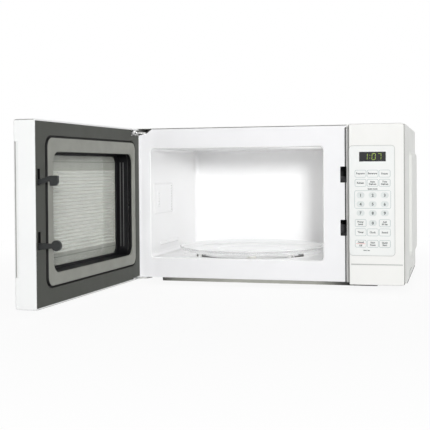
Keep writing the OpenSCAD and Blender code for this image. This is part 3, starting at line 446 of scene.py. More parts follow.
def millimetres(node_name):
    """The box of a solid in millimetres from the front plate's corner."""
    low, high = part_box(node_name)
    return (low - datum) / MM, (high - datum) / MM


def fade_along(material, axis, start, end, low, high):
    """Scales a material's colour from low to high between two places along an axis, in millimetres."""
    tree = material.node_tree
    origin = datum["XYZ".index(axis)]
    scale_colour(material, ranged(tree, along(tree, axis), origin + start * MM, origin + end * MM, low, high,
                                  "SMOOTHSTEP"))


plate_high = millimetres("front_frame")[1]
plate_top, plate_right = plate_high.z, plate_high.x
cavity_low, cavity_high = millimetres("cavity_shell")
gauge = 0.8                                              # thickness of all the painted sheet
mouth = (cavity_low.x + gauge, 33.5, cavity_high.x - gauge, cavity_high.z - gauge)     # x0, z0, x1, z1
lip, mouth_radius = 1.5, 5                               # roll of the mouth's edge, and its corners
slot_x = (343.8, 353.8)
lower_slot, upper_slot = (73.3, 98.7), (157.8, 183.2)
seam = 0.9                                               # open joint under the wrap
hinge_corner = [(plate_right, plate_top - seam), (28.9, plate_top - seam), (18.7, plate_top - 8.6),
                (7.1, plate_top - 11), (0.2, plate_top - 11.4), (0.2, 0.2), (plate_right, 0.2)]
white_paint = finish("front_plate_paint", (0.90, 0.90, 0.915), (0.88, 0.88, 0.895), (0.28, 0.36),
                     patch=0.05, grain=0.0012, depth=0.00003, Coat_Weight=0.0)
# Painted light: the paint is lighter near the hinge edge, to make up for the shade of the open door
fade_along(white_paint, "X", 24, 40, 1.075, 1.0)
front_plate = sheet("front_plate", [
    hinge_corner, rounded(*around(mouth, lip), mouth_radius + lip, 8),
    *[rounded(slot_x[0], z0, slot_x[1], z1, 0.8, 2) for z0, z1 in (upper_slot, lower_slot)]], gauge)
for x0, z0, x1, z1 in ((14, plate_top - 19, 45, plate_top - 13), (318, plate_top - 12.4, 348, plate_top - 11),
                       (336.6, plate_top - 36, 338.2, plate_top - 18)):
    join(front_plate, loft("stiffening_bar", upright_rings([
        (x0 + i, z0 + i * 0.6, x1 - i, z1 - i * 0.6, 0.55 - i * 0.3, y)
        for i, y in ((0, 0.3), (0, 0.02), (0.5, -0.28), (0.9, -0.4))], 3)))

# A narrow open joint runs down the plate beside the control panel; the black backing behind it is painted shade for the
# dark inside the joint
joint_x = (350.9, 353.1)
joint_end = plate_top - 6
joint = [(joint_x[0], -1), (joint_x[1], -1), (joint_x[1], joint_end), (355, joint_end + 3), (355, joint_end + 4.4),
         (joint_x[0], joint_end + 0.8)]
carve(front_plate, loft("joint", [[(x, y, z) for x, z in joint] for y in (-1, 2)]))
seat(front_plate, white_paint, "cabinet", ("front_frame",))
joint_black = finish("joint_black", (0.035, 0.035, 0.035), (0.045, 0.045, 0.045), (0.6, 0.75),
                     patch=0.02, grain=0.0004, depth=0.00002)
backing = join(*[block("backing", (joint_x[0] + 0.05, z0, joint_x[1] - 0.05, z1), 0.1, 0.45, 0.75, 1) for z0, z1 in (
    (0.4, lower_slot[0] - 0.3), (lower_slot[1] + 0.3, upper_slot[0] - 0.3), (upper_slot[1] + 0.3, joint_end))],
    name="joint_backing")
seat(backing, joint_black, "cabinet")

# ---------------------------------------------------------------- cavity
# The cavity is a deep-drawn steel box with a round well for the turntable and a
# pressed panel and bead in its left wall. It is enamelled white, welded behind the
# front plate, and steam leaves through small punched holes.
depth = cavity_high.y - gauge
back_bend = 9
mouth_left, mouth_floor, mouth_right, _ = mouth


def quarter(radius, steps):
    """A quarter circle, as how far each point has come one way and how far it has to go the other."""
    turns = [math.radians(90 * k / steps) for k in range(steps + 1)]
    return [(radius * (1 - math.cos(a)), radius * (1 - math.sin(a))) for a in turns]


stations = [(*around(mouth, lip), mouth_radius + lip, -0.4)]
stations += [(*around(mouth, flare), mouth_radius + flare, y) for y, flare in quarter(lip, 5)]
stations += [(*mouth, mouth_radius, depth * 0.5)]
stations += [(*around(mouth, -inset), mouth_radius + inset * 0.4, depth - to_go)
             for inset, to_go in quarter(back_bend, 6)]
oven_room = loft("cavity_enamel", upright_rings(stations, 8))

tray_low, tray_high = millimetres("glass_tray")
axis_x, axis_y = (tray_low.x + tray_high.x) / 2, (tray_low.y + tray_high.y) / 2
well_floor = 21.2


def turned(name, profile, centre=(0, 0), segments=96, closed=False):
    """A turned shape from (radius, height) pairs; a radius of 0 closes it on its axis."""
    bm = bmesh.new()
    angles = [2 * math.pi * k / segments for k in range(segments)]
    rows = [[bm.verts.new((centre[0] + r * math.cos(a), centre[1] + r * math.sin(a), h))
             for a in (angles if r else angles[:1])] for r, h in profile]
    for one, other in list(zip(rows, rows[1:])) + ([(rows[-1], rows[0])] if closed else []):
        for k in range(segments):
            m = (k + 1) % segments
            corners = [one[k % len(one)], one[m % len(one)], other[m % len(other)], other[k % len(other)]]
            corners = list(dict.fromkeys(corners))
            if len(corners) > 2:
                bm.faces.new(corners)
    return new_object(name, fill(bpy.data.meshes.new(name), bm))


carve(oven_room, turned("well", [
    (0, well_floor), (109, well_floor), (110.6, well_floor + 0.4), (111.8, well_floor + 1.4),
    (120.5, mouth_floor - 1.6), (121.6, mouth_floor - 0.6), (123.4, mouth_floor - 0.05), (124, mouth_floor + 6),
    (0, mouth_floor + 6)], (axis_x, axis_y)), "UNION")


def side_rings(stations):
    """Rings across Y and Z from (y0, z0, y1, z1, corner radius, x)."""
    return [[(x, y, z) for y, z in rounded(y0, z0, y1, z1, r)] for y0, z0, y1, z1, r, x in stations]


def pressing(name, box, radius, x, rise, slope):
    """A raised field with sloping sides on an upright wall that faces along X."""
    return loft(name, side_rings([(*around(box, -slope * inwards), radius * corner, x + rise * out)
                                  for inwards, corner, out in ((0, 1, -1), (0, 1, 0), (0.2, 1, 0.18), (0.8, 0.9, 0.82),
                                                               (1, 0.8, 1))]))


for box, radius, x, rise, slope in (
        ((11.3, 103.5, 118, 157.8), 6, mouth_left, 1.4, 3.8),            # the field round the holes
        ((30, 116, 48, 146), 4, mouth_left + 1.2, 0.8, 1.2),             # a smaller one on it
        ((45, 49.5, 152, 56), 3, mouth_left, 1.6, 2.0),                  # two beads near the floor
        ((20, 37.5, 175, 41.5), 1.8, mouth_left, 1.0, 1.4)):
    carve(oven_room, pressing("pressing", box, radius, x, rise, slope))

# The mouth is open, and the walls get their gauge on the outside
bm = bmesh.new()
bm.from_mesh(oven_room.data)
bmesh.ops.delete(bm, geom=[f for f in bm.faces if f.calc_center_median().y < -0.35], context="FACES")
bm.to_mesh(oven_room.data)
bm.free()
wall = oven_room.modifiers.new("wall", "SOLIDIFY")
wall.thickness, wall.offset = gauge, 1
settle(oven_room)


def geometry_tree(name, sizes):
    """A geometry tree with a Geometry and a Material input and a named input for each size."""
    made = bpy.data.node_groups.new(name, "GeometryNodeTree")
    made.interface.new_socket(name="Geometry", in_out="INPUT", socket_type="NodeSocketGeometry")
    for label, value in sizes.items():
        kind = {int: "Int", float: "Float", tuple: "Vector", type(None): "Object"}[type(value)]
        socket = made.interface.new_socket(name=label, in_out="INPUT", socket_type="NodeSocket" + kind)
        if value is not None:
            socket.default_value = value
    made.interface.new_socket(name="Material", in_out="INPUT", socket_type="NodeSocketMaterial")
    made.interface.new_socket(name="Geometry", in_out="OUTPUT", socket_type="NodeSocketGeometry")
    return made, node(made, "NodeGroupInput").outputs


def end_tree(tree, given, geometry):
    """Ends a geometry tree with real geometry in its material."""
    real = node(tree, "GeometryNodeRealizeInstances", {0: geometry})
    painted = node(tree, "GeometryNodeSetMaterial", {"Geometry": real.outputs[0], "Material": given["Material"]})
    node(tree, "NodeGroupOutput", {"Geometry": painted.outputs[0]})


def grow(made, tree, **values):
    """Runs a geometry tree on a piece with these inputs and keeps the plain mesh."""
    step = made.modifiers.new(tree.name, "NODES")
    step.node_group = tree
    for item in tree.interface.items_tree:
        label = item.name.replace(" ", "_")
        if item.in_out == "INPUT" and label in values:
            step[item.identifier] = values[label]
    return settle(made)


def oblong(tree, width, height, radius, steps):
    """The outline of a hole with rounded corners."""
    outline = node(tree, "GeometryNodeCurvePrimitiveQuadrilateral", {"Width": width, "Height": height},
                   mode="RECTANGLE")
    return node(tree, "GeometryNodeFilletCurve", {"Curve": outline.outputs[0], "Count": steps, "Radius": radius},
                mode="POLY").outputs[0]


def thickened(tree, face, thickness, weld):
    """A closed block on a flat face."""
    raised = node(tree, "GeometryNodeExtrudeMesh", {"Mesh": face, "Offset Scale": thickness, "Individual": False},
                  mode="FACES")
    under = node(tree, "GeometryNodeFlipFaces", {"Mesh": face})
    whole = node(tree, "GeometryNodeJoinGeometry", {0: [raised.outputs["Mesh"], under.outputs[0]]})
    return node(tree, "GeometryNodeMergeByDistance", {"Geometry": whole.outputs[0], "Distance": weld}).outputs[0]


def on_a_grid(tree, given, piece):
    """The piece on every point of a grid, from the tree's Columns, Rows and their pitches."""
    spans = [maths(tree, "MULTIPLY", maths(tree, "SUBTRACT", given[count], 1), given[pitch])
             for count, pitch in (("Columns", "Column Pitch"), ("Rows", "Row Pitch"))]
    points = node(tree, "GeometryNodeMeshGrid", {"Size X": spans[0], "Size Y": spans[1],
                                                 "Vertices X": given["Columns"], "Vertices Y": given["Rows"]})
    return node(tree, "GeometryNodeInstanceOnPoints", {"Points": points.outputs["Mesh"], "Instance": piece}).outputs[0]


# Punches rows of slots or round holes through a sheet: the punches stand on a grid,
# and the whole gang is turned to face the sheet and set on its middle
gang_punch, given = geometry_tree("gang_punch", {
    "Columns": 4, "Rows": 4, "Column Pitch": 5.0, "Row Pitch": 5.0, "Slot Width": 2.0, "Slot Height": 2.0,
    "Reach": 4.0, "Turn": (0.0, 0.0, 0.0), "Middle": (0.0, 0.0, 0.0)})
narrow = maths(gang_punch, "MINIMUM", given["Slot Width"], given["Slot Height"])
slot_end = maths(gang_punch, "MULTIPLY", narrow, 0.499)
slot_shape = oblong(gang_punch, given["Slot Width"], given["Slot Height"], slot_end, 4)
face = node(gang_punch, "GeometryNodeFillCurve", {"Curve": slot_shape}, mode="NGONS")
drop = node(gang_punch, "ShaderNodeCombineXYZ", {"Z": maths(gang_punch, "MULTIPLY", given["Reach"], -0.5)})
lowered = node(gang_punch, "GeometryNodeTransform", {"Geometry": face.outputs[0], "Translation": drop.outputs[0]})
punches = on_a_grid(gang_punch, given, thickened(gang_punch, lowered.outputs[0], given["Reach"], 0.0001))
faced = node(gang_punch, "GeometryNodeTransform", {"Geometry": punches, "Rotation": given["Turn"],
                                                   "Translation": given["Middle"]})
gang = node(gang_punch, "GeometryNodeRealizeInstances", {0: faced.outputs[0]})
press = node(gang_punch, "GeometryNodeMeshBoolean", {"Mesh 1": given["Geometry"], "Mesh 2": gang.outputs[0]},
             operation="DIFFERENCE", solver="EXACT")
end_tree(gang_punch, given, press.outputs["Mesh"])

FACING_X = (math.radians(90), 0.0, math.radians(90))      # punches lie along X, columns along Y, rows along Z
enamel = finish("cavity_enamel", (0.955, 0.955, 0.958), (0.945, 0.945, 0.95), (0.16, 0.24),
                patch=0.06, grain=0.002, depth=0.00003)
# Painted shade: the enamel is darker towards the top of the cavity and towards its right, where the mouth's edges shade
# it from the front lamp
fade_along(enamel, "Z", 150, 205, 1.0, 0.955)
fade_along(enamel, "X", 255, 316, 1.0, 0.92)
lamp_low, lamp_high = millimetres("oven_lamp")
lamp_y, lamp_z = (lamp_low.y + lamp_high.y) / 2, (lamp_low.z + lamp_high.z) / 2
for columns, rows, column_pitch, row_pitch, width, middle in (
        (2, 10, 4.4, 4.7, 3.1, (mouth_left, 109, 130)), (2, 5, 4.4, 4.6, 2.2, (mouth_left, 37, 130.2)),
        (4, 4, 6.0, 6.0, 3.6, (mouth_right, lamp_y, lamp_z))):
    grow(oven_room, gang_punch, Columns=columns, Rows=rows, Column_Pitch=column_pitch, Row_Pitch=row_pitch,
         Slot_Width=width, Slot_Height=width, Reach=8.0, Turn=FACING_X, Middle=middle, Material=enamel)
shaft_hole = [(0, well_floor - 4), (8.5, well_floor - 4), (8.5, well_floor + 3), (0, well_floor + 3)]
carve(oven_room, turned("shaft_hole", shaft_hole, (axis_x, axis_y), segments=32))
seat(oven_room, enamel, "cabinet", ("cavity_shell",), crease=40)
# The holes beside the panel are blind; a black sheet behind them is painted shade for the dark inside them
hole_shade = loft("hole_shade", side_rings([(104.5, 105, 113.5, 155, 0.5, x)
                                            for x in (mouth_left - 0.65, mouth_left - 0.08)]))
seat(hole_shade, joint_black, "cabinet")

# The oven's own lamp is lit while the door is open, and shines in through its holes
lamp_place = datum + Vector((mouth_right - 1.5, lamp_y, lamp_z)) * MM
lamp("cavity_light", lamp_place, aim=lamp_place - Vector((1, -0.3, 0.45)), size=0.026, watts=0.145)
coat("waveguide_cover", finish("mica_sheet", (0.58, 0.50, 0.38), (0.48, 0.40, 0.29), (0.25, 0.45),
                               patch=0.012, grain=0.0006, depth=0.00002))

# ---------------------------------------------------------------- wrap
# The wrap is one sheet of painted steel, folded over the top and down both sides and
# screwed on at the back. A large field is pressed out of its right side, and slots
# for the cooling air are punched in both sides.
wrap_low, wrap_high = millimetres("outer_cover")
side_x, top_z, back_y, bend = 446, plate_top + gauge, wrap_high.y, 4


def wrap_band(inset):
    """Half of the wrap's section: up the left side, over the top and down the right side."""
    points = [(inset, wrap_low.z)]
    for centre_x, start in ((bend, 180), (side_x - bend, 90)):
        for k in range(9):
            a = math.radians(start - 90 * k / 8)
            points.append((centre_x + (bend - inset) * math.cos(a), top_z - bend + (bend - inset) * math.sin(a)))
    points.append((side_x - inset, wrap_low.z))
    return points


section = wrap_band(0) + wrap_band(gauge)[::-1]
wrap = loft("wrap", [[(x, y, z) for x, z in section] for y in (gauge, back_y)])
bulge, bulge_radius = (80, 28, 272, plate_top - 38), 16          # y0, z0, y1, z1
slope = [(0, 0), (1.5, 0.35), (3.0, 1.3), (6.0, 3.7), (7.5, 4.65), (9.0, wrap_high.x - side_x)]    # (inwards, out)
for name, start, inset, sunk, how in (("side_field", 0.5, 0, 0, "UNION"),
                                      ("side_field_back", 2, 0.6, gauge, "DIFFERENCE")):
    carve(wrap, loft(name, side_rings([(*bulge, bulge_radius, side_x - start)] + [
        (*around(bulge, -i - inset), bulge_radius - i * 0.7, side_x - sunk + out) for i, out in slope])), how)
side_oval, oval_radius = (92, 0.5, 156, 8.5), 3.9
carve(wrap, loft("side_foot", side_rings([
    (*around(side_oval, -i), oval_radius - i, side_x + out) for i, out in ((0, -0.5), (0, 0.3), (0.7, 1.0))])), "UNION")
wrap_paint = finish("wrap_paint", (0.84, 0.85, 0.82), (0.82, 0.83, 0.80), (0.34, 0.46),
                    patch=0.05, grain=0.0011, depth=0.00005)
for columns, rows, column_pitch, row_pitch, height, middle in (
        (10, 2, 9.0, 24.0, 18.0, (0, 92.1, plate_top - 38)), (12, 1, 8.0, 8.0, 13.0, (side_x, 231.6, 15.5))):
    grow(wrap, gang_punch, Columns=columns, Rows=rows, Column_Pitch=column_pitch, Row_Pitch=row_pitch,
         Slot_Width=3.2, Slot_Height=height, Reach=8.0, Turn=FACING_X, Middle=middle, Material=wrap_paint)
seat(wrap, wrap_paint, "cabinet", ("outer_cover",), crease=30)
# Painted shade: a grey ring round the oval stands for the shade round its edge
oval_ring = loft("side_foot_ring", side_rings([
    (*around(side_oval, i), oval_radius + i, side_x + out)
    for i, out in ((0.9, -0.1), (0.9, 0.3), (0.5, 0.5), (-0.1, 0.5), (-0.1, -0.1))]), "ring")
seat(oval_ring, finish("foot_ring_grey", (0.40, 0.44, 0.42), (0.36, 0.40, 0.38), (0.5, 0.6),
                       patch=0.01, grain=0.0005, depth=0.00002),
     "cabinet")

# Pan-head screws with crossed recesses hold the wrap to the rear panel
screw_low, screw_high = millimetres("cover_screws")
head_radius = 3.6
head = turned("screw_head", [(0, -0.3), (3.5, -0.3), (head_radius, 0.2), (3.3, 1.1), (2.5, 1.7), (1.2, 1.98), (0, 2.0)],
              segments=24)
for wide, long in ((0.9, 3.4), (3.4, 0.9)):
    carve(head, loft("recess", [[(x, y, z) for x, y in rounded(-wide / 2, -long / 2, wide / 2, long / 2, 0.2, 1)]
                                for z in (0.9, 3)]))
head.data.transform(UPRIGHT.inverted())
set_screws, given = geometry_tree("screws_on_points", {"Screw": None})
one_screw = node(set_screws, "GeometryNodeObjectInfo", {"Object": given["Screw"]})
placed = node(set_screws, "GeometryNodeInstanceOnPoints", {"Points": given["Geometry"],
                                                           "Instance": one_screw.outputs["Geometry"]})
end_tree(set_screws, given, placed.outputs[0])
screw_zinc = finish("screw_zinc", (0.60, 0.60, 0.58), (0.68, 0.68, 0.66), (0.22, 0.34),
                    patch=0.003, grain=0.0003, depth=0.00001, Metallic=1.0)
screw_points = bpy.data.meshes.new("rear_screws")
screw_points.from_pydata([(x, back_y - 0.4, z) for x in (24, side_x / 2, side_x - 24)
                          for z in (screw_low.z + head_radius, screw_high.z - head_radius)], [], [])
rear_screws = grow(new_object("rear_screws", screw_points), set_screws, Screw=head, Material=screw_zinc)
bpy.data.objects.remove(head)
seat(rear_screws, None, "cabinet", ("cover_screws",))

# ---------------------------------------------------------------- control panel
# The control panel is one white moulding with a pocket for the keypad. It clips to
# the front plate beside the door, and a shallow groove crosses it under the keypad.
panel_low, panel_high = millimetres("control_bezel")
panel_x, panel_top, face_y = 361.2, panel_high.z, panel_low.y
shoulder, panel_wall = 3.0, 2.2


def panel_station(inset, y):
    """One ring of the panel: a soft shoulder on its right, a tight one on the other sides."""
    tight = min(inset, 1.0)
    return (panel_x + tight * 0.8, tight, side_x - inset, panel_top - tight,
            (5 - inset * 0.6, 5 - inset * 0.6, 0.8, 0.8), y)


stations = [panel_station(0, -0.2)] + [panel_station(inset, face_y + to_go) for inset, to_go in quarter(shoulder, 6)]
panel = loft("control_panel", upright_rings(stations))


def face_box(node_name):
    """The box of a solid as seen from the front."""
    low, high = millimetres(node_name)
    return low.x, low.z, high.x, high.z


def frame_round(name, box, radius, profile):
    """A ring round a box; profile gives how far each edge of its section lies outside the box, and its y."""
    return loft(name, upright_rings([(*around(box, i), radius + i, y) for i, y in profile]), "ring")


def crossbar(name, section, ends):
    """A bar along X with this section in Y and Z."""
    return loft(name, [[(x, face_y + y, z) for y, z in section] for x in ends])


key_box, key_radius = face_box("keypad_membrane"), 4.8
window_box, window_radius = face_box("display_window"), 0.4
carve(panel, block("panel_room", (panel_x + panel_wall, panel_wall, side_x - panel_wall, panel_top - panel_wall), 2,
                   face_y + 2.6, 5))
carve(panel, block("key_pocket", around(key_box, 0.15), key_radius + 0.1, face_y - 1, face_y + 0.5))
carve(panel, block("window_hole", around(window_box, 0.05), window_radius, face_y - 1, face_y + 4))
carve(panel, frame_round("key_gutter", key_box, key_radius, (
    (0.75, face_y - 1), (0.75, face_y + 1.5), (-0.02, face_y + 1.5), (-0.02, face_y - 1))))
carve(panel, crossbar("groove", ((-1, 32.95), (1.9, 32.7), (1.9, 31.3), (-1, 31.05)), (panel_x + 2.6, side_x - 3.4)))
bend_x, bend_y, slant = side_x - 0.88, face_y + 0.88, math.sqrt(0.5)


def on_the_bend(name, section, z0, z1):
    """A bar up the rounded right edge, from offsets across it and into it."""
    return loft(name, [[(bend_x + slant * (across - inward), bend_y + slant * (across + inward), z)
                        for across, inward in section] for z in (z0, z1)])


def ease(made, width, angle=35):
    """Rounds the edges of a piece that are sharper than angle."""
    rounding = made.modifiers.new("ease", "BEVEL")
    rounding.width, rounding.segments = width, 2
    rounding.limit_method, rounding.angle_limit = "ANGLE", math.radians(angle)
    rounding.use_clamp_overlap = True
    return settle(made)


carve(panel, on_the_bend("side_groove", ((0.85, -2), (0.8, 1.1), (-0.8, 1.1), (-0.85, -2)), 2, panel_top - 2))
join(panel, ease(block("bezel_lip", (353.9, 0, 356.6, panel_top), 0.3, -1.2, -0.05), 0.25),
     block("rear_lip", (side_x - panel_wall, 8, side_x, panel_top - 8), 0.3, -0.3, 0.8))
moulded_white = finish("panel_moulding", (0.845, 0.845, 0.825), (0.835, 0.835, 0.815), (0.5, 0.6),
                       patch=0.04, grain=0.00045, depth=0.00002, Specular_IOR_Level=0.35)
seat(panel, moulded_white, "cabinet", ("control_bezel",), crease=40)

# Painted shade: the floors of its grooves and of the joint beside it are painted grey for the shade that lies in them
joint_grey = finish("joint_grey", (0.28, 0.28, 0.27), (0.25, 0.25, 0.24), (0.6, 0.7),
                    patch=0.02, grain=0.0004, depth=0.00002)
pale_joint = finish("pale_joint", (0.52, 0.53, 0.52), (0.48, 0.49, 0.48), (0.6, 0.7),
                    patch=0.02, grain=0.0004, depth=0.00002)
floors = join(
    block("panel_joint_strip", (356.4, 0.3, panel_x + 0.2, panel_top - 0.3), 0.2, -0.6, -0.05, 1),
    frame_round("key_gutter_floor", key_box, key_radius, (
        (0.76, face_y + 1.0), (0.76, face_y + 1.45), (0.0, face_y + 1.45), (0.0, face_y + 1.0))),
    crossbar("groove_floor", ((0.9, 32.7), (1.86, 32.7), (1.86, 31.3), (0.9, 31.3)), (panel_x + 2.8, side_x - 3.6)))
seat(floors, pale_joint, "cabinet")
# Painted shade: a grey line up the rounded right edge stands for the shade in the side groove
side_line = on_the_bend("panel_side_line", ((0.78, 0.25), (0.78, 0.9), (-0.78, 0.9), (-0.78, 0.25)), 2.3,
                        panel_top - 2.3)
seat(side_line, joint_grey, "cabinet")

# The keypad is a printed sheet over membrane switches. Its keys are outlined in thin
# grey print, its numbers stand on pale grey ovals, and fine dark digits name them.
print_y, ink_thick = face_y + 0.08, 0.05
key_sheet = loft("keypad_sheet", upright_rings([
    (*key_box, key_radius, face_y + 0.49), (*key_box, key_radius, face_y + 0.2),
    (*around(key_box, -0.12), key_radius - 0.1, print_y)]))
carve(key_sheet, block("sheet_window", around(window_box, 0.02), window_radius, face_y - 1, face_y + 2))
seat(key_sheet, finish("keypad_sheet", (0.825, 0.838, 0.826), (0.815, 0.828, 0.816), (0.5, 0.6),
                       patch=0.03, grain=0.0006, depth=0.00002, Specular_IOR_Level=0.35),
     "cabinet", ("keypad_membrane",))


def print_on(name, marks, shade, ink_name):
    """Prints marks on the keypad in one ink, a little darker here and there."""
    ink = finish(ink_name, shade, tuple(c * 0.93 for c in shade), (0.35, 0.45),
                 patch=0.01, grain=0.0004, depth=0.00001)
    seat(join(*marks, name=name), ink, "cabinet")


columns_x = [378.9, 397.4, 415.6]
word_rows = [171.85, 157.7, 95.85, 81.65, 64.0]
zero_row = word_rows[2]
digit_rows = [(138.7, "123"), (125.0, "456"), (111.2, "789"), (zero_row, " 0 ")]
digits_at = [(digit, x, z) for z, digits in digit_rows for x, digit in zip(columns_x, digits) if digit != " "]
key_wide, key_tall, line_wide = 17.3, 11.5, 0.6


def printed_ring(x0, z0, x1, z1, radius):
    """A thin printed line round a key."""
    outer = rounded(x0, z0, x1, z1, radius, 4)
    inner = rounded(*around((x0, z0, x1, z1), -line_wide), radius - line_wide, 4)
    top_y = print_y - ink_thick
    return loft("ring", [[(x, y, z) for x, z in points] for points, y in
                         ((outer, print_y), (outer, top_y), (inner, top_y), (inner, print_y))], "ring")


outlines = [printed_ring(x - key_wide / 2, z - key_tall / 2, x + key_wide / 2, z + key_tall / 2, 2.2)
            for z in word_rows for x in columns_x if (x, z) != (columns_x[1], zero_row)]
outlines.append(printed_ring(369.6, 118.2, 425.0, 146.0, 2.6))           # round the keys 1 to 6
print_on("key_outlines", outlines, (0.40, 0.47, 0.47), "grey_ink")
print_on("number_ovals", [block("pad", (x - 6.1, z - 4.6, x + 6.1, z + 4.6), 4.4, print_y, print_y - ink_thick * 0.6)
                          for _, x, z in digits_at], (0.70, 0.735, 0.725), "pale_ink")


def lettering(text, x, z, height, wide=1.0, bold=0.14):
    """Flat printed characters, centred on x and z."""
    curve = bpy.data.curves.new("print", "FONT")
    curve.body, curve.size, curve.align_x, curve.align_y = text, height * 1.35, "CENTER", "CENTER"
    curve.extrude, curve.resolution_u, curve.offset = ink_thick / 2, 2, bold
    made = settle(new_object("print", curve))
    middle = [(min(v.co[i] for v in made.data.vertices) + max(v.co[i] for v in made.data.vertices)) / 2 for i in (0, 1)]
    made.data.transform(Matrix.Translation((x, print_y - ink_thick, z)) @ UPRIGHT @ Matrix.Scale(wide, 4, (1, 0, 0))
                        @ Matrix.Translation((-middle[0], -middle[1], 0)))
    return made


marks = [lettering(digit, x, z, 4.5, bold=0.26) for digit, x, z in digits_at]
words = [("Popcorn", "Beverage", "Potato"), ("Reheat", "Auto\nDefrost", "Time\nDefrost"),
         ("Power\nLevel", None, "Add\n30 Sec"), ("Timer", "Clock", "Sound"), (None, "Start\nPause", "Quick\nStart")]
for row_z, labels in zip(word_rows, words):
    for x, label in zip(columns_x, labels):
        if label:
            marks.append(lettering(label, x, row_z, 2.7 if "\n" in label else 2.9, wide=0.97))
for label, x, z, height, wide in (
        ("Quick Cook", columns_x[1], 148.3, 2.2, 1), ("Hold 3 Sec", columns_x[0] + 9, 53.8, 1.6, 1),
        ("Cancel", columns_x[0], 66.3, 2.6, 0.95), ("Off", columns_x[0], 61.2, 2.6, 0.95)):
    marks.append(lettering(label, x, z, height, wide))
print_on("key_lettering", marks, (0.08, 0.095, 0.095), "dark_ink")
print_on("red_line", [block("red_line", (columns_x[0] - 7, 63.6, columns_x[0] + 7, 64.1), 0.2, print_y,
                            print_y - ink_thick, 2)], (0.72, 0.10, 0.08), "red_ink")

# The display shows the time in lit segments behind a smoked lens
lens = loft("display_lens", upright_rings([
    (*window_box, window_radius, face_y + 2.4), (*window_box, window_radius, face_y + 0.35),
    (*around(window_box, -0.25), window_radius, face_y + 0.2)]))
seat(lens, finish("smoked_lens", (0.010, 0.010, 0.012), (0.014, 0.014, 0.016), (0.12, 0.2),
                  patch=0.02, grain=0.0008, depth=0.00001),
     "cabinet", ("display_window",))
lit_y, bar_wide = (face_y + 0.2, face_y + 0.12), 0.85    # front and back of the lit bars, and their width


def segment(start, end):
    """One lit bar between two points, pointed at both ends."""
    run = (Vector(end) - Vector(start)).normalized()
    across = Vector((-run.y, run.x)) * bar_wide / 2
    point = run * bar_wide / 2
    a, b = Vector(start) + run * 0.25, Vector(end) - run * 0.25
    shape = [a, a + point - across, b - point - across, b, b - point + across, a + point + across]
    return loft("segment", [[(p.x, y, p.y) for p in shape] for y in lit_y])


number_tall, lean = 9.4, 0.06


def number_shape(bars, x, z, wide=5.0):
    """The lit bars of one number, from its lower left corner."""
    corner = {k: (x + fx * wide + lean * fz * number_tall, z + fz * number_tall) for k, (fx, fz) in
              {"sw": (0, 0), "se": (1, 0), "w": (0, 0.5), "e": (1, 0.5), "nw": (0, 1), "ne": (1, 1)}.items()}
    ends = {"a": ("nw", "ne"), "b": ("e", "ne"), "c": ("se", "e"), "d": ("sw", "se"), "e": ("sw", "w"),
            "f": ("w", "nw")}
    return [segment(*(corner[end] for end in ends[bar])) for bar in bars]


middle_z = (window_box[1] + window_box[3]) / 2
foot_z = middle_z - number_tall / 2
lit = number_shape("bc", 386.2, foot_z, 3.0)
lit += number_shape("abcdef", 396.4, foot_z) + number_shape("abc", 405.0, foot_z)
lit += [block("dot", (392.8, middle_z + up - 0.55, 393.9, middle_z + up + 0.55), 0.5, *lit_y, 3) for up in (-2.2, 2.2)]
digits_glow = finish("lit_segments", (0.22, 0.30, 0.04), (0.25, 0.34, 0.05), (0.3, 0.4),
                     patch=0.01, grain=0.0004, depth=0.00001, Emission_Color=(0.40, 0.62, 0.04, 1),
                     Emission_Strength=0.24)
seat(join(*lit, name="display_digits"), digits_glow, "cabinet")

# ---------------------------------------------------------------- turntable
# The dish is clear pressed glass with a rolled rim. It rests on three wheels that a
# plastic ring keeps apart, and a coupler on the motor's shaft turns it by its lugs.
tray_z = tray_high.z - 9.8
tray_r = (tray_high.x - tray_low.x) / 2
# (radius, height) of the underside and the top, and (in from the edge, height) of the rim
under_profile = [(0, 0), (86, 0), (87, -0.5), (90, -0.5), (91, 0)]
rim_profile = [(17, 0.05), (14, 0.7), (8.5, 2.7), (3.4, 4.7), (1.3, 6.2), (0.2, 7.8), (0, 8.9), (0.5, 9.6), (1.5, 9.8),
               (2.6, 9.5), (4.0, 8.4), (6.5, 7.3), (12, 5.2), (16, 4.15), (19, 4.0)]
top_profile = [(62, 4.0), (61, 3.6), (60, 4.0), (0, 4.0)]
dish = turned("glass_dish", [(r, tray_z + h) for r, h in
                             under_profile + [(tray_r - i, h) for i, h in rim_profile] + top_profile],
              (axis_x, axis_y), segments=128)


def round_the_axis(height, degrees):
    """Turns a piece drawn along X about the turntable's axis, and sets it at this height."""
    return Matrix.Translation((axis_x, axis_y, height)) @ Matrix.Rotation(math.radians(degrees), 4, "Z")


for degrees in (-30, 90, 210):
    lug = loft("lug", upright_rings([(10.6, tray_z - 5 + i, 18 - i, tray_z + 0.4, 0.8, y)
                                     for i, y in ((0.6, -2.9), (0, -2.3), (0, 2.3), (0.6, 2.9))], 3))
    lug.data.transform(round_the_axis(0, degrees))
    join(dish, lug)


def shadow_share(tree, share):
    """1, but for shadow rays 1 less this share, so that the light gets through."""
    return maths(tree, "MULTIPLY_ADD", node(tree, "ShaderNodeLightPath").outputs["Is Shadow Ray"], -share, 1)


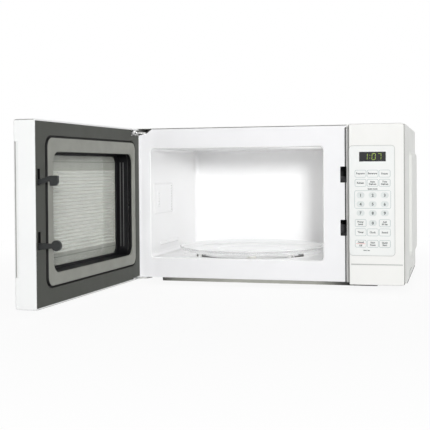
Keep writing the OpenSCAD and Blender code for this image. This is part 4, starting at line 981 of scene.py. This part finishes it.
# The pressed glass is as good as clear: its faces show by their gloss, and painted shade greys the sides that face down
# and out near the rim
dish_glass = finish("dish_glass", (0.93, 0.94, 0.94), (0.92, 0.93, 0.93), (0.03, 0.08),
                    patch=0.03, grain=0.006, depth=0.00002)
tree = dish_glass.node_tree
normal = node(tree, "ShaderNodeNewGeometry").outputs["Normal"]
downs = ranged(tree, node(tree, "ShaderNodeSeparateXYZ", {0: normal}).outputs["Z"], -0.2, 0.0, 1.0, 0.0)
flat_place = node(tree, "ShaderNodeVectorMath", {0: object_place(tree), 1: (1, 1, 0)}, operation="MULTIPLY")
from_axis = node(tree, "ShaderNodeVectorMath", {0: flat_place.outputs[0],
                                                1: (datum.x + axis_x * MM, datum.y + axis_y * MM, 0)},
                 operation="DISTANCE")
near_rim = ranged(tree, from_axis.outputs["Value"], (tray_r - 5.5) * MM, (tray_r - 2.5) * MM)
under_rim = maths(tree, "MULTIPLY", downs, near_rim)
clear_colour = principled(dish_glass)["Base Color"].links[0].from_socket
painted_rim_shade = node(tree, "ShaderNodeMix", {"Factor": under_rim, 6: clear_colour, 7: (0.50, 0.51, 0.51, 1)},
              data_type="RGBA")
drive(dish_glass, "Base Color", painted_rim_shade.outputs[2])
cover = node(tree, "ShaderNodeMix", {"Factor": under_rim, 2: ranged(tree, downs, low=0.88, high=0.05), 3: 0.42},
             data_type="FLOAT")
drive(dish_glass, "Alpha", maths(tree, "MULTIPLY", cover.outputs[0], shadow_share(tree, 0.8)))
seat(dish, dish_glass, "tray", ("glass_tray",))

ring_low, ring_high = millimetres("roller_ring")
axle_z = (ring_low.z + ring_high.z) / 2
ring = turned("roller_ring_moulding", [(r, axle_z + h) for r, h in (
    (86.0, -2.7), (90.5, -2.7), (91, -2.2), (91, 0.7), (90.5, 1.2), (86.0, 1.2), (85.5, 0.7), (85.5, -2.2))],
              (axis_x, axis_y), segments=128, closed=True)


def on_ring(made, degrees):
    """Moves a piece that was turned about Z out along the ring, its axis pointing away from the middle."""
    made.data.transform(round_the_axis(axle_z, degrees) @ Matrix.Rotation(math.radians(90), 4, "Y"))
    return made


ring_plastic = finish("ring_plastic", (0.075, 0.075, 0.07), (0.095, 0.095, 0.09), (0.4, 0.5),
                      patch=0.01, grain=0.0004, depth=0.00002)
wheel_plastic = finish("wheel_plastic", (0.86, 0.86, 0.85), (0.80, 0.80, 0.79), (0.35, 0.45),
                       patch=0.004, grain=0.0004, depth=0.00002)
axle_profile = [(0, 89), (2, 89), (2, 98.2), (1.7, 98.6), (0, 98.6)]
cap_profile = [(0, 97.5), (3.2, 97.5), (3.2, 98.7), (2.8, 99.15), (0, 99.2)]
tyre_profile = [(2.1, 91.9), (6.6, 91.8), (7.3, 92.4), (7.4, 93.2), (7.4, 96.0), (7.2, 96.8), (6.6, 97.2), (5.6, 97.2),
                (5.2, 96.6), (3.4, 96.6), (3.2, 97.1), (2.1, 97.1)]
for number, degrees in enumerate((-33.5, 86.5, 206.5), 1):
    join(ring, *[on_ring(turned("axle", profile, segments=24), degrees) for profile in (axle_profile, cap_profile)])
    wheel = turned("roller_wheel_tyre_%d" % number, tyre_profile, segments=48, closed=True)
    seat(on_ring(wheel, degrees), wheel_plastic, "wheel_%d" % number, ("roller_wheel_%d" % number,))
seat(ring, ring_plastic, "ring", ("roller_ring",))


def eased_copy(node_name, material, body, width):
    """A carried-over solid with its edges rounded as moulded and pressed parts have them."""
    bm = bmesh.new()
    bm.from_mesh(nodes[node_name].data)
    bmesh.ops.remove_doubles(bm, verts=bm.verts, dist=0.00001)
    bmesh.ops.dissolve_limit(bm, angle_limit=math.radians(1), verts=bm.verts, edges=bm.edges)
    mesh = bpy.data.meshes.new(node_name + "_piece")
    bm.to_mesh(mesh)
    bm.free()
    made = ease(new_object(node_name + "_piece", mesh), width * MM, angle=40)
    dress(made, material, 35)
    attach(made, body)
    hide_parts(node_name)


ivory = finish("ivory_nylon", (0.80, 0.79, 0.75), (0.77, 0.76, 0.72), (0.4, 0.5),
               patch=0.01, grain=0.0004, depth=0.00002)
eased_copy("drive_coupler", ivory, "drive", 0.5)
bright_steel = finish("bright_steel", (0.62, 0.62, 0.61), (0.70, 0.70, 0.69), (0.18, 0.3),
                      patch=0.006, grain=0.0003, depth=0.00001, Metallic=1.0)
coat("motor_shaft", bright_steel)

# ---------------------------------------------------------------- hinges and latch board
# The hinge brackets are bent from plated steel strip with the pins riveted in. Behind
# the two slots a black moulded board holds the catches and three safety switches.
for name in ("upper_hinge_bracket", "lower_hinge_bracket"):
    eased_copy(name, bright_steel, "cabinet", 0.35)
board_black = finish("latch_board_plastic", (0.018, 0.018, 0.019), (0.026, 0.026, 0.027), (0.45, 0.6),
                     patch=0.01, grain=0.0004, depth=0.00002)
eased_copy("latch_board", board_black, "cabinet", 0.4)
board_back = millimetres("latch_board")[1].y
shield = block("latch_board_shield", around(face_box("latch_board"), -0.5), 1, board_back - 1.4, board_back - 0.1, 2)
seat(shield, board_black, "cabinet")
switch_case = finish("switch_case", (0.05, 0.05, 0.055), (0.07, 0.07, 0.075), (0.4, 0.5),
                     patch=0.004, grain=0.0003, depth=0.00001)
plunger_dark = finish("plunger_plastic", (0.075, 0.072, 0.070), (0.060, 0.058, 0.057), (0.35, 0.45),
                      patch=0.003, grain=0.0003, depth=0.00001)
for name in ("primary", "secondary", "monitor"):
    coat(name + "_switch", switch_case)
    coat(name + "_plunger", plunger_dark)

# ---------------------------------------------------------------- electronics bay
# Right of the cavity stand the transformer, magnetron, capacitor, fan and mains
# filter. They are bought-in parts: stacked steel sheets, enamelled wire, cast and
# drawn metal, and moulded plastic, all hidden by the wrap.
WAVE = 0.314                                             # metres from band to band at a scale of 1


def striped(name, colours, gloss, metallic, pitch, axis, depth):
    """A finish of fine parallel ridges across an axis, as of stacked sheets or wound wire."""
    material = finish(name, *colours, gloss, Metallic=metallic)
    tree = material.node_tree
    ridges = node(tree, "ShaderNodeTexWave", {"Scale": WAVE / pitch, "Vector": object_place(tree)},
                  bands_direction=axis, wave_profile="SIN").outputs["Fac"]
    tint = node(tree, "ShaderNodeMix", {"Factor": ridges, 6: (*colours[0], 1), 7: (*colours[1], 1)}, data_type="RGBA")
    drive(material, "Base Color", tint.outputs[2])
    bump = next(n for n in tree.nodes if n.bl_idname == "ShaderNodeBump")
    bump.inputs["Distance"].default_value = depth
    tree.links.new(ridges, bump.inputs["Height"])
    return material


coat("transformer_core", striped("core_laminations", ((0.16, 0.16, 0.17), (0.30, 0.30, 0.31)), (0.35, 0.5), 0.8,
                                 0.0010, "X", 0.0001))
coat("transformer_windings", striped("enamelled_wire", ((0.42, 0.15, 0.06), (0.66, 0.30, 0.13)), (0.25, 0.35), 0.6,
                                     0.0012, "Z", 0.0002))
coat("magnetron_core", striped("magnetron_fins", ((0.55, 0.27, 0.16), (0.74, 0.45, 0.32)), (0.3, 0.4), 0.9,
                               0.004, "X", 0.0003))
phenolic = finish("phenolic_resin", (0.02, 0.02, 0.021), (0.03, 0.03, 0.031), (0.45, 0.6),
                  patch=0.01, grain=0.0004, depth=0.00002)
for name in ("diode", "thermal_cutout", "display_module", "lamp_holder"):
    coat(name, phenolic)
board_green = finish("circuit_board", (0.02, 0.11, 0.045), (0.03, 0.15, 0.06), (0.3, 0.4),
                     patch=0.003, grain=0.0008, depth=0.00003)
for name in ("filter_board", "control_board"):
    coat(name, board_green)
coat("capacitor", finish("drawn_aluminium", (0.66, 0.66, 0.67), (0.72, 0.72, 0.73), (0.3, 0.42),
                         patch=0.01, grain=0.0004, depth=0.00001, Metallic=1.0))
coat("fan_motor", finish("motor_case", (0.16, 0.165, 0.17), (0.2, 0.205, 0.21), (0.4, 0.55),
                         patch=0.01, grain=0.0005, depth=0.00003, Metallic=0.7))
coat("fan_blade", finish("fan_plastic", (0.62, 0.60, 0.54), (0.57, 0.55, 0.49), (0.35, 0.45),
                         patch=0.02, grain=0.0005, depth=0.00002))
coat("fuse", finish("fuse_ceramic", (0.80, 0.78, 0.72), (0.74, 0.72, 0.66), (0.3, 0.4),
                    patch=0.004, grain=0.0004, depth=0.00001))
coat("wiring_harness", finish("loom_wrap", (0.45, 0.03, 0.03), (0.38, 0.025, 0.025), (0.4, 0.55),
                              patch=0.006, grain=0.001, depth=0.0001))
coat("oven_lamp", finish("lamp_bulb", (1.0, 0.93, 0.78), (1.0, 0.9, 0.72), (0.2, 0.3),
                         patch=0.01, grain=0.0005, depth=0.00001, Emission_Color=(1.0, 0.85, 0.6, 1),
                         Emission_Strength=0.8))

# ---------------------------------------------------------------- door shell
# The door's outside is one white moulding, 31 mm deep, with a window in its face and
# a finger scoop along its free edge. Every door piece is drawn closed and then swung
# open about the hinge pins.
hinge = next(j for j in frame["joints"] if j["name"] == "door_hinge")
pin = Vector(hinge["pos_m"])
opened = math.radians(hinge["range_deg"][0])
swing = Matrix.Translation(pin) @ Matrix.Rotation(opened, 4, "Z") @ Matrix.Translation(-pin)


def hang(made, material, stands_for=(), crease=35, body="door"):
    """Seats a piece that was drawn with the door closed, swung open with the door."""
    seat(made, material, body, stands_for, crease, swing)


door = (0.5, -2.5, 359.2, plate_top - 0.7)               # x0, z0, x1, z1
door_x0, door_z0, door_x1, door_z1 = door
door_front, door_back, door_wall = face_y, -1.5, 2.1
door_edge, door_corner = 2.2, 2.5                        # roundings of its front edges and corners
stations = [(*around(door, -0.35), 2.2, door_back), (*door, door_corner, door_back - 0.35)]
stations += [(*around(door, -inset), door_corner - inset * 0.4, door_front + to_go)
             for inset, to_go in quarter(door_edge, 5)]
shell = loft("door_moulding", upright_rings(stations, 4))
carve(shell, block("shell_room", around(door, -door_wall), 1.5, door_front + 2.5, 1))
scoop_z0, scoop_z1 = 40, plate_top - 30
carve(shell, block("scoop_back", (door_x1 - 9, scoop_z0 - 3, door_x1 - 0.5, scoop_z1 + 3), 0.5, door_front + 0.8,
                   door_front + 9.4, 2), "UNION")
scoop_shape = [(1, 1.0), (-8.0, 1.1), (-12, 1.3), (-12, 2.3), (-8.0, 2.5), (-1.6, 2.6), (-1.0, 2.9), (-0.1, 6.8),
               (1, 7.2)]
carve(shell, loft("scoop", [[(door_x1 + x * width, door_front + y, z) for x, y in scoop_shape] for z, width in (
    (scoop_z0, 0.9), (scoop_z0 + 1.2, 1), (scoop_z1 - 1.2, 1), (scoop_z1, 0.9))]))
pane_box, pane_radius = (50, 59, 298, plate_top - 65), 6
carve(shell, loft("window", upright_rings([(*around(pane_box, i), pane_radius + i, door_front + y) for i, y in (
    (1.2, -0.6), (0.6, 0.1), (0, 0.8), (0, 4))])))
for z0, z1 in ((door_z1 - 11.3, door_z1 - door_wall), (door_z0 - 1, door_z0 + 5)):
    carve(shell, block("hinge_notch", (door_x0 - 1, z0, door_x0 + 34, z1), 0.4, -11.5, 1, 2))
# A fine parting line runs along the top of the free edge
carve(shell, loft("parting_line", [[(door_x1 + x, y, door_z1 - down) for x, down in (
    (1, 0.5), (-1.2, 0.6), (-1.2, 1.3), (1, 1.4))] for y in (door_front + 2.2, door_back - 1.2)]))
door_white = finish("door_moulding_plastic", (0.865, 0.875, 0.87), (0.85, 0.86, 0.855), (0.3, 0.4),
                    patch=0.05, grain=0.0005, depth=0.00002)
hang(shell, door_white, ("door_shell",), crease=40)
# Painted shade: grey strips stand for the shade in the scoop, in the parting line and where the cover meets the lower
# edge
hang(join(
    block("scoop_shade", (door_x1 - 7, scoop_z0 + 0.5, door_x1 - 1.9, scoop_z1 - 0.5), 0.1, door_front + 1.0,
          door_front + 2.7, 1),
    block("line", (door_x1 - 1.4, door_z1 - 1.4, door_x1 - 0.25, door_z1 - 0.5), 0.1, door_front + 2.6,
          door_back - 1.4, 1),
    block("line", (3, door_z0 + 0.36, door_x1 - 4, door_z0 + 0.85), 0.1, door_back - 1, door_back + 0.02, 1),
    name="door_edge_lines"), joint_grey)

# The window: a clear outer pane, a painted steel screen with rows of small oblong
# holes that keeps the microwaves in, and a clear film on its inner side
window, window_r = (31.3, 41, 309, plate_top - 43), 16
window_x0, window_z0, window_x1, window_z1 = window
screen_y0, screen_y1 = door_front + 3.6, door_front + 4.4
hole_field, columns, rows = (43.5, 62, 298, plate_top - 69), 106, 23
pitch_x, pitch_z = (hole_field[2] - hole_field[0]) / columns, (hole_field[3] - hole_field[1]) / rows
perforated, given = geometry_tree("perforated_field", {
    "Columns": columns, "Rows": rows, "Column Pitch": pitch_x, "Row Pitch": pitch_z, "Hole Width": 2.08,
    "Hole Height": 3.35, "Thickness": 0.4})
cell = node(perforated, "GeometryNodeCurvePrimitiveQuadrilateral", {"Width": given["Column Pitch"],
                                                                    "Height": given["Row Pitch"]}, mode="RECTANGLE")
hole = oblong(perforated, given["Hole Width"], given["Hole Height"],
              maths(perforated, "MULTIPLY", given["Hole Width"], 0.42), 1)
both = node(perforated, "GeometryNodeJoinGeometry", {0: [cell.outputs[0], hole]})
punched_cell = node(perforated, "GeometryNodeFillCurve", {"Curve": both.outputs[0]}, mode="TRIANGLES")
cells = node(perforated, "GeometryNodeRealizeInstances", {0: on_a_grid(perforated, given, punched_cell.outputs[0])})
one_sheet = node(perforated, "GeometryNodeMergeByDistance", {"Geometry": cells.outputs[0], "Distance": 0.01})
end_tree(perforated, given, thickened(perforated, one_sheet.outputs[0], given["Thickness"], 0.01))

screen_paint = finish("screen_paint", (0.375, 0.38, 0.35), (0.355, 0.36, 0.33), (0.4, 0.5),
                      patch=0.03, grain=0.0006, depth=0.00002)
# Painted light and shade: the paint is a little darker on the bars between the rows of holes and a little lighter
# elsewhere, for the light that shows through the holes
tree = screen_paint.node_tree
whole_rows = 50                                          # keeps the count of rows above 0 all over the door
row_count = maths(tree, "MULTIPLY_ADD", along(tree, "Z"), 1 / (pitch_z * MM),
                  whole_rows - (datum.z + hole_field[1] * MM) / (pitch_z * MM))
scale_colour(screen_paint, ranged(tree, maths(tree, "PINGPONG", row_count, 0.5), 0.14, 0.20, 0.94, 1.03, "SMOOTHSTEP"))
field = grow(new_object("door_screen_sheet", bpy.data.meshes.new("screen_field")), perforated, Material=screen_paint)
field.data.transform(Matrix.Translation(((hole_field[0] + hole_field[2]) / 2, screen_y1,
                                         (hole_field[1] + hole_field[3]) / 2)) @ UPRIGHT)
hang(field, screen_paint, ("door_screen",))
border_paint = finish("screen_border_paint", (0.235, 0.24, 0.22), (0.22, 0.225, 0.205), (0.45, 0.55),
                      patch=0.03, grain=0.0006, depth=0.00002)
surround = sheet("screen_surround", [rounded(*around(window, 2), window_r + 2), rounded(*hole_field, 0.2, 1)],
                 screen_y1 - screen_y0, edge=0.05, start=screen_y0)
hang(surround, border_paint)
# Painted shade: two black beads across the screen stand for the thin shade lines at the edges of its bands
beads = [loft("bead", upright_rings([(window_x0 + 3, z - 0.4 + i, window_x1 - 3, z + 0.4 - i, 0.3, screen_y1 + y)
                                     for i, y in ((0, -0.2), (0.2, 0.25))], 2))
         for z in (window_z1 - 13.2, window_z0 + 15.5)]
hang(join(*beads, name="screen_beads"), joint_black)


def clear_sheet(name, colour, second, gloss, depth, bends, share):
    """A clear plastic that bends the light a little and lets this share of it on to what lies behind."""
    material = finish(name, colour, second, gloss,
                      patch=0.03, grain=0.004, depth=depth, strength=0, Transmission_Weight=1.0, IOR=bends)
    drive(material, "Alpha", shadow_share(material.node_tree, share))
    return material


film = sheet("screen_film", [rounded(*around(window, -4.2), window_r - 4)], 0.3, edge=0.08,
             start=screen_y1 + 0.02)
hang(film, clear_sheet("clear_film", (0.96, 0.97, 0.95), (0.94, 0.95, 0.93), (0.02, 0.07), 0.00003, 1.15, 0.92),
     ("door_film",))
pane = loft("outer_pane", upright_rings([(*around(pane_box, i), r, door_front + y) for i, r, y in (
    (-0.25, 5.8, 0.45), (-0.05, 6, 0.7), (-0.05, 6, 2.5), (6, 8, 2.52), (6, 8, 3.58))]))
hang(pane, clear_sheet("outer_pane_tint", (0.55, 0.57, 0.56), (0.53, 0.55, 0.54), (0.0, 0.03), 0.00002, 1.3, 0.8),
     ("door_glass",))

# The well is a deep glossy black frame that steps in from the seal panel to the screen
step_y, well_y = door_front + 7.5, -3.4
well_loop = [(-2, well_y - 0.3, 2), (-2, screen_y1 + 0.05, 2), (4.0, screen_y1 + 0.05, -4), (4.0, step_y - 0.8, -4),
             (3.6, step_y - 0.25, -3.6), (3.0, step_y, -3), (0.9, step_y, -0.9), (0.25, step_y + 0.4, -0.25),
             (0, step_y + 1.2, 0), (0, well_y - 0.8, 0), (-0.3, well_y - 0.2, 0.3), (-0.9, well_y, 0.9),
             (-1.6, well_y, 1.6)]
ledge = 7.2                                              # the step is wider beside the hinge
black_well = loft("door_well_frame", upright_rings([
    (window_x0 + i + (ledge if i > 2.5 else 0), window_z0 + i, window_x1 - i, window_z1 - i, window_r + wider, y)
    for i, y, wider in well_loop], 8), "ring")
# Painted highlights: two thin ridges down the well beside the hinge are painted grey, lighter than the black well, for
# the glints along it
ridges = [block("ridge", (window_x0 - 0.4, window_z0 + 13, window_x0 + 0.55, window_z1 - 13), 0.3, y, y + 1.1, 2)
          for y in (-23.6, -18.3)]
hang(join(*ridges, name="well_ridges"),
     finish("ridge_black", (0.13, 0.135, 0.13), (0.11, 0.115, 0.11), (0.4, 0.5),
            patch=0.03, grain=0.003, depth=0.00003))
hang(black_well, finish("gloss_black", (0.006, 0.006, 0.007), (0.008, 0.008, 0.009), (0.45, 0.55),
                        patch=0.03, grain=0.003, depth=0.00003, Specular_IOR_Level=0.12),
     ("door_well",), crease=30)

# The seal panel is a raised grey moulding round the window. A steel ring behind it
# and the black channel beside it make the choke that stops the microwaves.
seal_box, seal_r = (20.5, 24.5, 324.5, plate_top - 24), 13
seal_front, seal_back, frame_y = -0.65, -3.35, door_front + 25.4
seal_rings = [(*around(seal_box, -i), seal_r - i, seal_front - back) for i, back in ((0, 1.2), (0.35, 0.35), (1.2, 0))]
seal_rings += [(*around(window, i), window_r + i, y)
               for i, y in ((1.4, seal_front), (0.4, seal_front - 0.4), (0, -1.8), (0, seal_back))]
seal_rings += [(*around(seal_box, -2), seal_r - 2, y) for y in (seal_back, frame_y)]
seal_rings += [(*seal_box, seal_r, frame_y)]
seal_grey = finish("seal_grey", (0.255, 0.26, 0.23), (0.235, 0.24, 0.212), (0.38, 0.48),
                   patch=0.03, grain=0.0006, depth=0.00003)
seal = loft("seal_moulding", upright_rings(seal_rings, 8), "ring")
hang(seal, seal_grey, ("door_seal_panel",), crease=40)
seal_x0, seal_z0, seal_x1, seal_z1 = seal_box
channel = loft("choke_channel", upright_rings([
    (seal_x0 - i, seal_z0 - i, seal_x1 + i + (2.8 if i > 1 else 0), seal_z1 + i, seal_r + i, y) for i, y in
    ((0.05, frame_y + 0.05), (3.4, frame_y + 0.05), (3.4, -4.4), (2.9, -4.4), (2.9, frame_y + 0.6),
     (0.4, frame_y + 0.6), (0.4, -0.95), (0.05, -0.95))], 8), "ring")
channel_black = finish("channel_black", (0.010, 0.010, 0.010), (0.014, 0.014, 0.014), (0.5, 0.65),
                       patch=0.02, grain=0.0004, depth=0.00002)
hang(channel, channel_black, crease=30)

# The choke cover is a dark grey moulding with a fine grain that clips into the shell,
# with slots for the hooks and open corners for the hinge arms
hook_x, hook_t, hook_hi, hook_lo = 346, 5, 160.5, 75.1
hook_slots = [(hook_x - 0.8, z0, hook_x + hook_t + 0.8, z1)
              for z0, z1 in ((hook_hi + 0.7, hook_hi + 22.7), (hook_lo + 0.9, hook_lo + 24.9))]
inner_x0, inner_z0, inner_x1, inner_z1 = around(door, -door_wall)
arm_x, upper_arm, lower_arm = 34.5, door_z1 - 11.3, door_z0 + 5
cover = sheet("choke_cover_moulding", [
    [(inner_x1, inner_z0), (inner_x1, inner_z1), (arm_x, inner_z1), (arm_x, upper_arm), (inner_x0, upper_arm),
     (inner_x0, lower_arm), (arm_x, lower_arm), (arm_x, inner_z0)],
    rounded(seal_x0 - 2.8, seal_z0 - 2.8, seal_x1 + 6.0, seal_z1 + 2.8, seal_r + 3.2, 8),
    *[rounded(*slot, 0.6, 2) for slot in hook_slots]], 3, edge=0.35, start=-4.5)
skirt = loft("cover_skirt", upright_rings([
    (door_x0 + 5 + i, door_z0 + 5 + i + 0.05, door_x1 - 5.5 - i, door_z1 - 5 - i - 6.3, 1, y)
    for i, y in ((0, -4.3), (0, -7.1), (2, -7.1), (2, -4.3))], 2), "ring")
choke_grey = finish("choke_grey", (0.052, 0.055, 0.047), (0.059, 0.062, 0.053), (0.5, 0.62),
                    patch=0.02, grain=0.0007, depth=0.00006, coarse=0.4, Specular_IOR_Level=0.3)
hang(join(cover, skirt), choke_grey, ("door_choke_cover",))
# Painted shade: black linings inside the hook slots stand for the shade in them
linings = [loft("slot_lining", upright_rings([(*around(slot, -i), 0.5, y) for i, y in (
    (0.02, -1.52), (0.4, -1.52), (0.4, -6.5), (0.02, -6.5))]), "ring") for slot in hook_slots]
hang(join(*linings), finish("slot_black", (0.004, 0.004, 0.004), (0.005, 0.005, 0.005), (0.7, 0.8),
                            patch=0.02, grain=0.0004, depth=0.00002, Specular_IOR_Level=0.1))

# ---------------------------------------------------------------- door latch
# Both hooks are moulded on one charcoal nylon slide. It lies in a channel behind the
# steel ring, and a spring pushes it down.


def softened(points, radius, steps=3):
    """A closed outline whose corners are rounded."""
    made = []
    for before, here, after in zip(points[-1:] + points[:-1], points, points[1:] + points[:1]):
        corner, a, b = Vector(here), Vector(before) - Vector(here), Vector(after) - Vector(here)
        reach = min(radius, a.length * 0.45, b.length * 0.45)
        start, end = corner + a.normalized() * reach, corner + b.normalized() * reach
        for k in range(steps + 1):
            t = k / steps
            made.append(tuple(start * (1 - t) ** 2 + corner * 2 * t * (1 - t) + end * t ** 2))
    return made


bar_front, bar_back = frame_y - 1.2 - 12, frame_y - 1.2 - 2.6
upper_hook = [(y, hook_hi + z) for y, z in (
    (bar_back - 1, 1.3), (-1.5, 1.3), (15.2, 6.5), (15.2, 0), (24, 0), (27, 3.5), (27, 13.5), (16.2, 13.5), (-1.5, 8),
    (bar_back - 1, 8))]
knob_y, knob_z, knob_r = 23.5, hook_lo + 7.2, 7.2
knob_turns = [math.radians(-146 + 304 * k / 20) for k in range(21)]
lower_hook = [(bar_back - 1, hook_lo + 1.4), (-1.5, hook_lo + 1.4), (18, hook_lo + 3.6)]
lower_hook += [(knob_y + knob_r * math.cos(a), knob_z + knob_r * math.sin(a)) for a in knob_turns]
lower_hook += [(-1.5, hook_lo + 10), (bar_back - 1, hook_lo + 10)]
bar = [(bar_front, hook_lo - 6), (bar_back, hook_lo - 6), (bar_back, hook_hi + 14), (bar_front, hook_hi + 14)]
hooks = join(sheet("latch_hook_slide", [softened(upper_hook, 1.4)], hook_t, edge=0.7, axis="X", start=hook_x),
             sheet("lower_hook", [softened(lower_hook, 0.8, 2)], hook_t, edge=0.7, axis="X", start=hook_x),
             sheet("bar", [softened(bar, 1)], hook_t - 0.2, edge=0.6, axis="X", start=hook_x + 0.1))
charcoal = finish("charcoal_nylon", (0.018, 0.020, 0.020), (0.023, 0.025, 0.025), (0.4, 0.5),
                  patch=0.006, grain=0.0005, depth=0.00004, Specular_IOR_Level=0.3)
hang(hooks, charcoal, ("latch_hooks",), body="latch")
coat("latch_guide", ivory)
coat("latch_spring", bright_steel)

bpy.context.view_layer.update()
